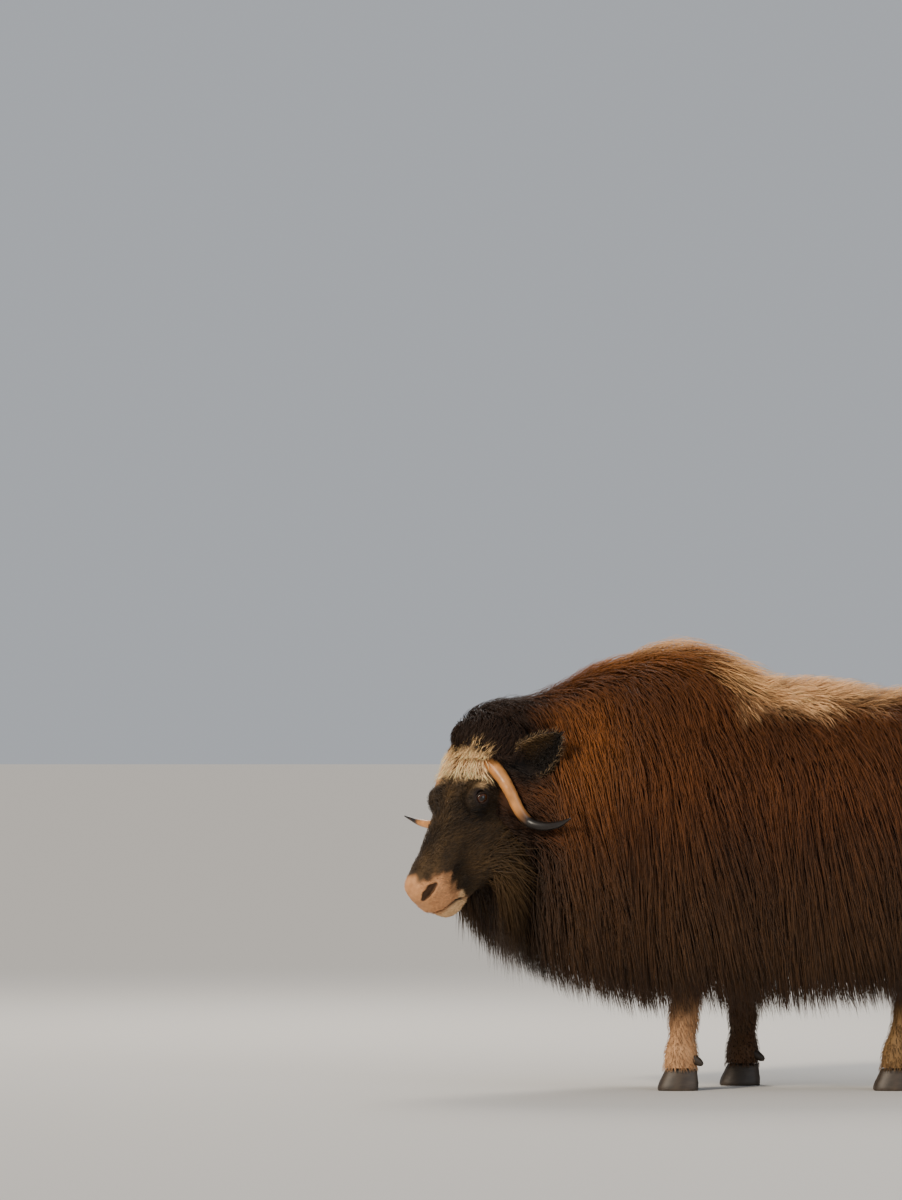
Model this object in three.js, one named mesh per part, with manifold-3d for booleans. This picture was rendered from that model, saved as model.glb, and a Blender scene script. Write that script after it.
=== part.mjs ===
// A life-size muskox cow, standing in mid-step with its head turned to its left.
// Millimetres, +Z up. The animal faces -X and its left side faces -Y.

import * as THREE from "three";
import { mergeVertices } from "three/addons/utils/BufferGeometryUtils.js";
import Module from "manifold-3d";

const wasm = await Module();
wasm.setup();

const V = (x, y, z) => new THREE.Vector3(x, y, z);
const radians = THREE.MathUtils.degToRad;
const lerp = THREE.MathUtils.lerp;
const X = V(1, 0, 0);
const Y = V(0, 1, 0);
const Z = V(0, 0, 1);
const SIDES = { left: 1, right: -1 };

// Driving dimensions of the whole animal
const GAP = 0.4; // air kept between touching nodes
const NECK_PLANE = -430; // where the neck ends and the shoulders begin
const BARREL_PLANE = 60; // where the shoulders end and the barrel begins
const RUMP_PLANE = 400; // where the barrel ends and the hindquarters begin
const TRUNK_AXIS = 800; // height of the line that the trunk's rings are drawn round
const UNDERWOOL = 12; // depth of the woolly core over the flesh
const HOOF_HEIGHT = 62;

// Pose of the head: the nose tip, how far the face turns to the left, and how far it hangs from the vertical
const NOSE = V(-932, -257, 577);
const HEAD_YAW = radians(43);
const HEAD_HANG = radians(38);

// Head coordinates are (back from the nose tip, towards the brow, to the animal's left).
const facing = V(-Math.cos(HEAD_YAW), -Math.sin(HEAD_YAW), 0);
const headBack = facing.clone().multiplyScalar(-Math.sin(HEAD_HANG)).add(V(0, 0, Math.cos(HEAD_HANG)));
const headUp = facing.clone().multiplyScalar(Math.cos(HEAD_HANG)).add(V(0, 0, Math.sin(HEAD_HANG)));
const headLeft = V(Math.sin(HEAD_YAW), -Math.cos(HEAD_YAW), 0);
const headFrame = new THREE.Matrix4().makeBasis(headBack, headUp, headLeft).setPosition(NOSE);
const headFrameInverse = headFrame.clone().invert();
const onHead = (back, up, left) => V(back, up, left).applyMatrix4(headFrame);
const turned = (back, up, left) => V(back, up, left).transformDirection(headFrame);

// Distance fields. Each takes a point and gives about how far outside the form it lies.
const ellipsoid = (centre, radii) => (p) => {
  const q = p.clone().sub(centre).divide(radii);
  const near = q.length();
  return near < 1e-9 ? -radii.x : (near * (near - 1)) / q.divide(radii).length();
};
const taper = (start, end, startRadius, endRadius) => (p) => {
  const along = end.clone().sub(start);
  const share = THREE.MathUtils.clamp(p.clone().sub(start).dot(along) / along.lengthSq(), 0, 1);
  return p.distanceTo(start.clone().addScaledVector(along, share)) - lerp(startRadius, endRadius, share);
};
const blended = (forms, softness) => (p) =>
  forms
    .map((form) => form(p))
    .reduce((a, b) => {
      const h = Math.max(softness - Math.abs(a - b), 0) / softness;
      return Math.min(a, b) - h * h * softness * 0.25;
    });

const trunkField = blended(
  [
    ellipsoid(V(130, 0, 802), V(600, 258, 322)), // barrel
    ellipsoid(V(-190, 0, 850), V(300, 236, 350)), // shoulders
    ellipsoid(V(-240, 0, 1070), V(245, 108, 155)), // hump over the withers
    ellipsoid(V(610, 0, 815), V(315, 246, 304)), // hindquarters
    ellipsoid(V(-400, -5, 690), V(170, 180, 210)), // brisket
    taper(V(-330, 0, 860), V(-650, -65, 835), 232, 128), // neck
    taper(V(-400, 0, 1050), V(-650, -60, 1005), 118, 86), // crest of the neck
    ellipsoid(V(-720, -98, 1008), V(108, 78, 86)), // woolly poll behind the horns
  ],
  90,
);

// The wool fills out the belly, and the long hair hangs nearly straight down from the widest part.
const WIDEST = 740; // height under which the coat hangs clear of the flesh
const hung = (drape) => (p) => trunkField(V(p.x, p.y, p.z > WIDEST ? p.z : WIDEST - (WIDEST - p.z) * drape));
const woolField = hung(0.75);
const hairField = hung(0.35);

const skullField = blended(
  [
    taper(V(330, -5, 0), V(90, -12, 0), 85, 60), // face
    ellipsoid(V(45, -28, 0), V(72, 74, 64)), // muzzle
    ellipsoid(V(8, -2, 0), V(36, 44, 46)), // nose pad
    ellipsoid(V(20, -62, 0), V(46, 34, 52)), // upper lip
    ellipsoid(V(38, -108, 0), V(44, 36, 42)), // chin
    taper(V(290, -110, 0), V(80, -100, 0), 88, 46), // jaw
    ellipsoid(V(245, -85, 50), V(110, 75, 52)), // left cheek
    ellipsoid(V(245, -85, -50), V(110, 75, 52)), // right cheek
    ellipsoid(V(385, 0, 0), V(110, 95, 105)), // cranium
    ellipsoid(V(430, 45, 0), V(70, 58, 95)), // crown between the horns
    ellipsoid(V(300, 40, 80), V(44, 40, 32)), // left eye's rim
    ellipsoid(V(300, 40, -80), V(44, 40, 32)), // right eye's rim
    ellipsoid(V(390, -100, 0), V(110, 100, 105)), // throat
  ],
  28,
);
const headField = (p) => skullField(p.clone().applyMatrix4(headFrameInverse));

// The way straight out of a form at a point.
function outwards(field, point) {
  const STEP = 2;
  const slope = (axis) =>
    field(point.clone().addScaledVector(axis, STEP)) - field(point.clone().addScaledVector(axis, -STEP));
  return V(slope(X), slope(Y), slope(Z)).normalize();
}

// The point where a ray from inside a form reaches the level set at that distance outside it.
function surfacePoint(field, origin, direction, level) {
  const STRIDE = 15;
  const at = (distance) => origin.clone().addScaledVector(direction, distance);
  let near = 0;
  while (field(at(near + STRIDE)) < level && near < 1500) near += STRIDE;
  let far = near + STRIDE;
  for (let i = 0; i < 16; i++) {
    const middle = (near + far) / 2;
    if (field(at(middle)) < level) near = middle;
    else far = middle;
  }
  return at(far);
}

// A ring of surface points in the plane of two directions.
function ringOn(field, origin, across, upwards, count, level) {
  return Array.from({ length: count }, (_, j) => {
    const angle = (2 * Math.PI * j) / count;
    const ray = across.clone().multiplyScalar(Math.cos(angle)).addScaledVector(upwards, Math.sin(angle));
    return surfacePoint(field, origin, ray, level);
  });
}

// A closed geometry through rings of points, with a point at each end.
function loft(rings, start, end) {
  const count = rings[0].length;
  const points = [start, ...rings.flat(), end];
  const last = 1 + (rings.length - 1) * count;
  const faces = [];
  for (let j = 0; j < count; j++) {
    const next = (j + 1) % count;
    faces.push([0, 1 + next, 1 + j], [points.length - 1, last + j, last + next]);
    for (let row = 1 + count; row <= last; row += count) {
      faces.push([row - count + j, row - count + next, row + next], [row - count + j, row + next, row + j]);
    }
  }
  const volume = faces.reduce((sum, [a, b, c]) => sum + points[a].dot(points[b].clone().cross(points[c])), 0);
  const geometry = new THREE.BufferGeometry().setFromPoints(points);
  geometry.setIndex(volume > 0 ? faces.flat() : faces.map(([a, b, c]) => [a, c, b]).flat());
  return geometry;
}

// A three.js geometry as a manifold-3d solid.
function solid(geometry) {
  const bare = new THREE.BufferGeometry().setAttribute("position", geometry.getAttribute("position"));
  if (geometry.index) bare.setIndex(geometry.index);
  const merged = mergeVertices(bare, 1e-3);
  return new wasm.Manifold(
    new wasm.Mesh({
      numProp: 3,
      vertProperties: merged.getAttribute("position").array,
      triVerts: new Uint32Array(merged.index.array),
    }),
  );
}
const joined = (pieces) => wasm.Manifold.union(pieces);
const cutBy = (piece, cutters) => cutters.reduce((rest, cutter) => rest.subtract(cutter), piece);
const largest = (made) => made.decompose().reduce((a, b) => (a.volume() > b.volume() ? a : b));
const BALL_SIDES = { across: 12, down: 8 };
const ball = (centre, radius) => {
  const sphere = new THREE.SphereGeometry(radius, BALL_SIDES.across, BALL_SIDES.down);
  return solid(sphere.translate(centre.x, centre.y, centre.z));
};

// A tube of round sections along a smooth curve through points, with radii spread evenly along it.
function tube(points, radii, steps, sides) {
  const curve = new THREE.CatmullRomCurve3(points, false, "centripetal");
  const path = curve.getPoints(steps);
  const rings = path.map((centre, i) => {
    const along = path[Math.min(i + 1, steps)].clone().sub(path[Math.max(i - 1, 0)]).normalize();
    const across = (Math.abs(along.z) < 0.9 ? Z : X).clone().cross(along).normalize();
    const upwards = along.clone().cross(across);
    const place = (i / steps) * (radii.length - 1);
    const low = Math.min(Math.floor(place), radii.length - 2);
    const radius = lerp(radii[low], radii[low + 1], place - low);
    return Array.from({ length: sides }, (_, j) => {
      const angle = (2 * Math.PI * j) / sides;
      const reach = across.clone().multiplyScalar(Math.cos(angle)).addScaledVector(upwards, Math.sin(angle));
      return centre.clone().addScaledVector(reach, radius);
    });
  });
  return solid(loft(rings, path[0], path[steps]));
}

// Random numbers between -1 and 1, the same on every run.
let seed = 20251;
function jitter() {
  seed = (seed * 48271) % 2147483647;
  return (seed / 2147483647) * 2 - 1;
}

// The middle line of a lock that starts inside a form, falls along it and hangs free under its widest part.
const LOCK_STEPS = 3;
function lockPath(field, root, { length, lift, flow, sink = 24, from = field }) {
  const KEEP = 2; // how strongly the lock keeps its facing at each step, so that it hardly twists
  const RISE = [0, 0.45, 0.8, 1]; // share of the lift at each step, so that each tier lies over the next
  const normal = outwards(from, root);
  const path = [{ point: root.clone().addScaledVector(normal, -sink), normal }];
  const point = root.clone();
  for (let i = 1; i <= LOCK_STEPS; i++) {
    const out = outwards(field, point);
    const fall = flow.clone();
    if (out.z > -0.1) fall.addScaledVector(out, -fall.dot(out));
    point.addScaledVector(fall.normalize(), length / LOCK_STEPS);
    const after = outwards(field, point);
    const short = lift * RISE[i] - field(point);
    if (short > 0) point.addScaledVector(after, short);
    else if (after.z > 0.1) point.addScaledVector(after, short * 0.7);
    const level = after.z < 0 ? V(after.x, after.y, 0).normalize() : after;
    path.push({ point: point.clone(), normal: level.addScaledVector(path[i - 1].normal, KEEP).normalize() });
  }
  return path;
}

const coatPath = (root, shape) => lockPath(hairField, root, { ...shape, from: woolField });

// A flat lock with four edges that narrows to a tip. The extra thickens it, most at its sharp side edges.
function lockSolid({ path, width, thickness }, extra) {
  const WIDTHS = [0.7, 1, 0.74];
  const THICKNESSES = [1, 1, 0.75];
  const EDGE_EXTRA = 3;
  const rings = WIDTHS.map((share, i) => {
    const { point, normal } = path[i];
    const along = path[i + 1].point.clone().sub(path[Math.max(i - 1, 0)].point).normalize();
    const across = along.clone().cross(normal).normalize();
    const out = across.clone().cross(along);
    const half = (width * share) / 2 + extra * EDGE_EXTRA;
    const deep = (thickness * THICKNESSES[i]) / 2 + extra;
    return [
      point.clone().addScaledVector(across, half),
      point.clone().addScaledVector(out, deep),
      point.clone().addScaledVector(across, -half),
      point.clone().addScaledVector(out, -deep),
    ];
  });
  const tip = path[LOCK_STEPS].point.clone();
  const last = tip.clone().sub(path[LOCK_STEPS - 1].point).normalize();
  return solid(loft(rings, path[0].point.clone(), tip.addScaledVector(last, extra * 8)));
}

// A core with its locks, and the same a gap fatter, for cutting its neighbours.
function coated(core, fatCore, locks) {
  const dressed = (base, extra) => joined([base, ...locks.map((lock) => lockSolid(lock, extra))]);
  return { core, fatCore, whole: dressed(core, 0), fat: dressed(fatCore, GAP) };
}

// Trunk between two planes across X.
const TRUNK_SIDES = 20;
const trunkRing = (x, extra) =>
  ringOn(woolField, V(x, 0, TRUNK_AXIS), Y, Z, TRUNK_SIDES, UNDERWOOL + extra);
const stations = (from, to, steps) =>
  Array.from({ length: steps + 1 }, (_, i) => from + ((to - from) * i) / steps);
function trunkCore(from, to, steps, extra) {
  const rings = stations(from - extra, to + extra, steps).map((x) => trunkRing(x, extra));
  return solid(loft(rings, V(from - extra, 0, TRUNK_AXIS), V(to + extra, 0, TRUNK_AXIS)));
}
function rumpCore(extra) {
  const rings = [...stations(RUMP_PLANE + GAP - extra, 840, 5), 890, 922].map((x) => trunkRing(x, extra));
  return solid(loft(rings, V(RUMP_PLANE + GAP - extra, 0, TRUNK_AXIS), V(944 + extra, 0, TRUNK_AXIS)));
}

// Locks of the trunk in columns along X and tiers round it. Tier angles count from the side to the spine.
const TIERS = [
  { angle: 74, length: 300, lift: 48, spread: 0.3 },
  { angle: 44, length: 330, lift: 62, spread: 0.3 },
  { angle: 16, length: 330, lift: 82, spread: 0.22 },
  { angle: -12, length: 340, lift: 96, spread: 0.16 },
  { angle: -42, length: 338, lift: 100, spread: 0.1 },
];
const LOCK_THICKNESS = 15;
function columnLocks(from, to, columns, { width, shortening = () => 1 }) {
  const locks = [];
  const pitch = (to - from) / columns;
  for (const side of Object.values(SIDES)) {
    TIERS.forEach(({ angle, length, lift, spread }, tier) => {
      for (let i = 0; i < columns; i++) {
        const x = from + pitch * (i + 0.5 + (tier % 2 ? 0.2 : -0.2) + 0.12 * jitter());
        const turn = radians(angle + 3 * jitter());
        const ray = V(0, -side * Math.cos(turn), Math.sin(turn));
        const root = surfacePoint(woolField, V(x, 0, TRUNK_AXIS), ray, UNDERWOOL);
        const share = shortening(x, tier);
        const flow = V(spread + 0.08 * jitter(), 0, -1);
        locks.push({
          path: coatPath(root, { length: length * (1 + 0.1 * jitter()) * share, lift: lift * share, flow }),
          width: width * (1 + 0.08 * jitter()),
          thickness: LOCK_THICKNESS,
        });
      }
    });
  }
  return locks;
}

// Locks along the spine that lie back over the hump and the loins.
function ridgeLocks(from, to, count, { length, lift, width }) {
  return stations(from, to, count - 1).map((x, i) => {
    const side = i % 2 ? 1 : -1;
    const turn = radians(90 + side * 7);
    const ray = V(0, Math.cos(turn), Math.sin(turn));
    const root = surfacePoint(woolField, V(x, 0, TRUNK_AXIS), ray, UNDERWOOL);
    const flow = V(1, 0.3 * side + 0.1 * jitter(), -0.2);
    return {
      path: coatPath(root, { length: length * (1 + 0.1 * jitter()), lift, flow }),
      width,
      thickness: LOCK_THICKNESS,
    };
  });
}

// Locks round the end of the rump, in tiers of rays from its middle.
function rumpLocks() {
  const CENTRE = V(690, 0, TRUNK_AXIS);
  const BEARINGS = [-57, -19, 19, 57];
  const RUMP_TIERS = [
    { angle: 38, length: 260, lift: 46 },
    { angle: 12, length: 310, lift: 54 },
    { angle: -13, length: 320, lift: 56 },
    { angle: -38, length: 290, lift: 60 },
  ];
  return RUMP_TIERS.flatMap(({ angle, length, lift }) =>
    BEARINGS.map((bearing) => {
      const heading = radians(bearing + 4 * jitter());
      const climb = radians(angle + 3 * jitter());
      const level = Math.cos(climb);
      const ray = V(Math.cos(heading) * level, Math.sin(heading) * level, Math.sin(climb));
      const root = surfacePoint(woolField, CENTRE, ray, UNDERWOOL);
      const flow = V(0.12, 0.06 * jitter(), -1);
      return {
        path: coatPath(root, { length: length * (1 + 0.08 * jitter()), lift, flow }),
        width: 170,
        thickness: LOCK_THICKNESS,
      };
    }),
  );
}

// Neck rings turn from the plane of the shoulders to face along the neck, and close in at the head.
const NECK_SIDES = 20;
const NECK_START = V(NECK_PLANE - GAP, 0, 800);
const NECK_END = V(-705, -82, 850);
const NECK_TURN = Math.atan2(82, 275);
const neckPlace = (share) => ({
  origin: NECK_START.clone().lerp(NECK_END, share),
  across: V(-Math.sin(share * NECK_TURN), Math.cos(share * NECK_TURN), 0),
});
function neckCore(extra) {
  const rings = stations(0, 1, 6).map((share) => {
    const { origin, across } = neckPlace(share);
    origin.x += extra * (1 - share);
    return ringOn(woolField, origin, across, Z, NECK_SIDES, UNDERWOOL + extra);
  });
  const BLUNT = 0.55; // the last ring, half closed over the throat
  const { origin, across } = neckPlace(1.18);
  const last = rings[rings.length - 1];
  rings.push(last.map((p) => origin.clone().add(p.clone().sub(NECK_END).multiplyScalar(BLUNT))));
  const front = origin.clone().add(across.clone().cross(Z).multiplyScalar(-12 - extra));
  return solid(loft(rings, NECK_START.clone().setX(NECK_START.x + extra), front));
}
function neckLocks() {
  const COLUMNS = [0.16, 0.52, 0.88];
  const NECK_TIERS = [
    { angle: 82, length: 230, lift: 64, spread: 1.2 },
    { angle: 48, length: 290, lift: 80, spread: 0.4 },
    { angle: 12, length: 290, lift: 88, spread: 0.3 },
    { angle: -24, length: 290, lift: 80, spread: 0.2 },
    { angle: -60, length: 250, lift: 56, spread: 0.1 },
  ];
  const locks = [];
  for (const side of Object.values(SIDES)) {
    NECK_TIERS.forEach(({ angle, length, lift, spread }, tier) => {
      for (const share of COLUMNS) {
        const { origin, across } = neckPlace(share + 0.08 * (tier % 2 ? 1 : -1) + 0.02 * jitter());
        const turn = radians(angle + 4 * jitter());
        const ray = across.clone().multiplyScalar(-side * Math.cos(turn)).addScaledVector(Z, Math.sin(turn));
        const root = surfacePoint(woolField, origin, ray, UNDERWOOL);
        const nearHead = 1 - 0.12 * share;
        locks.push({
          path: coatPath(root, {
            length: length * nearHead * (1 + 0.08 * jitter()),
            lift: lift * nearHead,
            flow: V(spread + 0.08 * jitter(), 0, -1),
          }),
          width: 132,
          thickness: LOCK_THICKNESS,
        });
      }
    });
  }
  return locks;
}

// Head rings run from the muzzle to the poll.
const HEAD_SIDES = 20;
const HEAD_STATIONS = [-17, -5, 12, 34, 60, 92, 130, 175, 220, 258, 288, 316, 350, 388, 426, 460, 482];
const headAxis = (back) => -42 - 12 * Math.sin((Math.PI * Math.min(back, 400)) / 400);
function headCore(extra) {
  const rings = HEAD_STATIONS.map((back) =>
    ringOn(headField, onHead(back, headAxis(back), 0), headLeft, headUp, HEAD_SIDES, extra),
  );
  return solid(loft(rings, onHead(-28 - extra, -38, 0), onHead(496 + extra, -30, 0)));
}

// The mouth: a thin slot round the muzzle, rising a little at the front and falling to the corners.
const LIP_DEPTH = 9;
function mouthCut() {
  const LINE = [V(-70, -74, 0), V(-18, -80, 0), V(14, -86, 0), V(44, -100, 0), V(66, -122, 0)];
  const HALF = 2.2;
  const REACH = 100;
  const rings = LINE.map((p) => [
    onHead(p.x, p.y - HALF, -REACH),
    onHead(p.x, p.y + HALF, -REACH),
    onHead(p.x, p.y + HALF, REACH),
    onHead(p.x, p.y - HALF, REACH),
  ]);
  const middle = (p) => onHead(p.x, p.y, 0);
  return solid(loft(rings, middle(LINE[0]), middle(LINE[LINE.length - 1]))).subtract(headCore(-LIP_DEPTH));
}

// A nostril: a comma-shaped slit that opens forwards and curls out and back.
function nostrilCut(side) {
  const INSIDE = onHead(30, -20, 0);
  const along = [
    [-1, 0.18, 0.42, -2],
    [-0.9, 0.42, 0.78, -6],
    [-0.55, 0.5, 1, -5],
    [-0.15, 0.38, 1, -1],
  ];
  const points = along.map(([back, up, left, level]) =>
    surfacePoint(headField, INSIDE, turned(back, up, left * side), level),
  );
  return tube(points, [3, 7, 8, 5, 2], 8, 8);
}

// Eyes, and lids that stand round each with an almond opening.
const EYE_RADIUS = 19;
const LID = 4.5;
const EYE = V(302, 44, 95);
const eyeCentre = (side) => onHead(EYE.x, EYE.y, EYE.z * side);
function lids(side) {
  const OPENING = { long: 19, tall: 11 };
  const centre = eyeCentre(side);
  const out = turned(-0.25, 0.22, 0.94 * side);
  const along = turned(1, 0.35, 0.18 * side).projectOnPlane(out).normalize();
  const upright = along.clone().cross(out);
  const outline = (distance) =>
    Array.from({ length: 12 }, (_, j) => {
      const angle = (2 * Math.PI * j) / 12;
      return centre
        .clone()
        .addScaledVector(out, distance)
        .addScaledVector(along, OPENING.long * Math.cos(angle))
        .addScaledVector(upright, OPENING.tall * Math.sin(angle));
    });
  const opening = solid(loft([outline(0), outline(40)], centre, centre.clone().addScaledVector(out, 40)));
  return ball(centre, EYE_RADIUS + GAP + LID).subtract(opening);
}

// Short locks on the head: the pale tuft between the horns, the cheeks and the beard under the jaw.
function headLocks() {
  const CENTRE = V(385, -20, 0);
  const make = (ray, flow, length, lift, width) => {
    const root = surfacePoint(headField, onHead(CENTRE.x, CENTRE.y, CENTRE.z), turned(...ray), 0);
    return { path: lockPath(headField, root, { length, lift, flow, sink: 12 }), width, thickness: 10 };
  };
  const crown = [-0.5, -0.05, 0.4].map((left) =>
    make([0.42, 1, left], turned(-1, 0.1, left * 0.5), 110, 16, 60),
  );
  const brow = [-0.25, 0.25].map((left) => make([-0.15, 1, left], turned(-1, 0, left * 0.6), 95, 9, 56));
  const cheeks = Object.values(SIDES).flatMap((side) =>
    [0, 1].map((i) => make([0.2 - 0.6 * i, -0.35 - 0.25 * i, side], V(0.1, 0, -1), 120 - 15 * i, 18, 70)),
  );
  const beard = [0, 1, 2].map((i) => {
    const left = (i % 2 ? 1 : -1) * 0.25;
    const root = surfacePoint(headField, onHead(130 + 95 * i, -90, 0), turned(0, -1, left), 0);
    return {
      path: lockPath(headField, root, { length: 100 + 54 * i, lift: 14, flow: V(0.15, 0, -1), sink: 14 }),
      width: 70,
      thickness: 11,
    };
  });
  return [...crown, ...brow, ...cheeks, ...beard];
}

// Horn: rooted under the crown, down past the eye, then out and up to the tip.
const HORN_PATH = [
  V(412, 62, 30),
  V(409, 58, 78),
  V(385, 35, 118),
  V(356, 2, 146),
  V(325, -45, 165),
  V(311, -84, 184),
  V(309, -104, 232),
  V(315, -104, 292),
  V(325, -86, 350),
];
const HORN_RADII = [30, 28, 25, 21, 18, 15, 12, 8, 2];
const hornSolid = (side, extra) =>
  tube(HORN_PATH.map((p) => onHead(p.x, p.y, p.z * side)), HORN_RADII.map((r) => r + extra), 15, 8);

// Ear: a cupped leaf, thin at the rim. The near one reaches out, and the far one lies along the neck.
const EAR = {
  root: V(425, -22, 84),
  tips: { [SIDES.left]: V(531, 46, 277), [SIDES.right]: V(590, -10, 160) },
  halfWidths: [24, 38, 46, 47, 41, 29, 12],
  wall: 6,
};
function earSolid(side, extra) {
  const along = EAR.tips[side].clone().sub(EAR.root);
  const axis = along.clone().normalize();
  const out = V(-0.62, 0.45, 0.6).projectOnPlane(axis).normalize(); // the way the cup opens
  const across = axis.clone().cross(out);
  const rings = EAR.halfWidths.map((half, i) => {
    const centre = EAR.root.clone().addScaledVector(along, i / (EAR.halfWidths.length - 1));
    const arc = (grow) =>
      Array.from({ length: 6 }, (_, j) => {
        const angle = Math.PI * (0.06 + (0.88 * j) / 5);
        return centre
          .clone()
          .addScaledVector(across, (half + grow) * Math.cos(angle))
          .addScaledVector(out, half * 0.45 - (half * 0.7 + grow) * Math.sin(angle));
      });
    return [...arc(extra), ...arc(-EAR.wall - extra).reverse()].map((p) => onHead(p.x, p.y, p.z * side));
  });
  const mean = (ring) => ring.reduce((a, b) => a.clone().add(b)).divideScalar(ring.length);
  return solid(loft(rings, mean(rings[0]), mean(rings[rings.length - 1])));
}

// Legs: joints from inside the belly to the pastern, with the radius at each, and the middle of the foot.
const FORE_RADII = [70, 66, 50, 36, 40, 46];
const HIND_RADII = [80, 78, 46, 36, 40, 46];
const places = (...triples) => triples.map((triple) => V(...triple));
const LEGS = {
  fore_left: {
    joints: places(
      [-130, -105, 640],
      [-138, -132, 480],
      [-162, -148, 320],
      [-174, -150, 200],
      [-180, -150, 100],
      [-184, -150, 40],
    ),
    radii: FORE_RADII,
    foot: V(-190, -150, 0),
  },
  fore_right: {
    joints: places(
      [-90, 105, 640],
      [-50, 132, 480],
      [0, 146, 320],
      [10, 148, 200],
      [8, 148, 100],
      [6, 148, 40],
    ),
    radii: FORE_RADII,
    foot: V(0, 148, 0),
  },
  hind_left: {
    joints: places(
      [520, -100, 660],
      [475, -128, 510],
      [500, -150, 375],
      [474, -150, 240],
      [446, -150, 105],
      [438, -150, 40],
    ),
    radii: HIND_RADII,
    foot: V(430, -150, 0),
  },
  hind_right: {
    joints: places(
      [640, 100, 660],
      [668, 128, 510],
      [748, 150, 375],
      [730, 150, 240],
      [710, 150, 105],
      [704, 150, 40],
    ),
    radii: HIND_RADII,
    foot: V(698, 150, 0),
  },
};
const legSolid = ({ joints, radii }, extra) =>
  tube(joints, radii.map((r) => r + extra), 10, 10).trimByPlane([0, 0, 1], HOOF_HEIGHT);

// One claw of a cloven hoof: a flat sole, straight inside and rounded outside, leaning back to the coronet.
const CLAW = { length: 118, width: 50, cleft: 5 };
function clawSolid(foot, side) {
  const outline = (grow, back, height) =>
    Array.from({ length: 10 }, (_, j) => {
      const angle = (2 * Math.PI * j) / 10;
      const along = -Math.cos(angle) * (CLAW.length / 2) * grow + back;
      const out = (0.5 + 0.5 * Math.sin(angle)) * CLAW.width * grow;
      return V(foot.x + along, foot.y + side * (CLAW.cleft / 2 + out), height);
    });
  const top = HOOF_HEIGHT - GAP;
  const rings = [outline(0.95, 0, 0), outline(1, 0, 8), outline(0.86, 6, top * 0.66), outline(0.74, 10, top)];
  const middle = V(foot.x, foot.y + side * 27, 0);
  return solid(loft(rings, middle, middle.clone().setZ(top)));
}

// A dewclaw: a small blunt cone behind the pastern.
function dewclawSolid(leg, side) {
  const { foot } = leg;
  const root = V(foot.x + 38, foot.y + side * 20, 98);
  const tip = root.clone().add(V(34, side * 4, -24));
  return tube([root, tip], [15, 14, 7], 2, 6).subtract(legSolid(leg, GAP));
}

// Tail: short and flat, hanging against the rump.
const TAIL = {
  points: places([880, 0, 880], [932, 0, 868], [960, 0, 815], [968, 0, 755]),
  radii: [30, 31, 28, 16],
};
function tailSolid(extra) {
  const [root, ...rest] = TAIL.points;
  return tube([root.clone().setX(root.x - 2 * extra), ...rest], TAIL.radii.map((r) => r + extra), 6, 8);
}

// Colours
const COLOURS = {
  coat: 0x4a2c14,
  face: 0x241a12,
  eye: 0x1b0d06,
  horn: 0xb08a5a,
  ear: 0x15110d,
  leg: 0xa5886a,
  hoof: 0x2a241e,
};
const muskox = new THREE.Group();
function addNode(name, made, colour, roughness) {
  const data = made.getMesh();
  const geometry = new THREE.BufferGeometry();
  geometry.setAttribute("position", new THREE.BufferAttribute(data.vertProperties, 3));
  geometry.setIndex(new THREE.BufferAttribute(data.triVerts, 1));
  const material = new THREE.MeshStandardMaterial({ color: colour, roughness, metalness: 0 });
  const mesh = new THREE.Mesh(geometry, material);
  mesh.name = name;
  muskox.add(mesh);
}

// Horns, ears and eyes are cut clear of the head, which keeps the sockets of the eyes.
const forEachSide = (make) => Object.entries(SIDES).map(([name, side]) => make(side, name));
const bareHead = headCore(0);
const fatBareHead = headCore(GAP);
const eyeSockets = forEachSide((side) => ball(eyeCentre(side), EYE_RADIUS + GAP));
const fatHorns = forEachSide((side) => hornSolid(side, GAP).subtract(bareHead));
const fatEars = forEachSide((side) => earSolid(side, GAP).subtract(bareHead));
forEachSide((side, name) => {
  addNode(`eye_${name}`, ball(eyeCentre(side), EYE_RADIUS), COLOURS.eye, 0.1);
  addNode(`horn_${name}`, largest(hornSolid(side, 0).subtract(fatBareHead)), COLOURS.horn, 0.45);
  const ear = cutBy(earSolid(side, 0), [fatBareHead, hornSolid(side, GAP)]);
  addNode(`ear_${name}`, largest(ear), COLOURS.ear, 0.9);
});
const nostrils = forEachSide((side) => nostrilCut(side));
const headShape = coated(
  joined([cutBy(bareHead, [mouthCut(), ...nostrils]), ...forEachSide((side) => lids(side))]),
  joined([fatBareHead, ...forEachSide((side) => ball(eyeCentre(side), EYE_RADIUS + 2 * GAP + LID))]),
  headLocks(),
);
addNode("head", largest(cutBy(headShape.whole, [...eyeSockets, ...fatHorns, ...fatEars])), COLOURS.face, 0.9);

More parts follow.
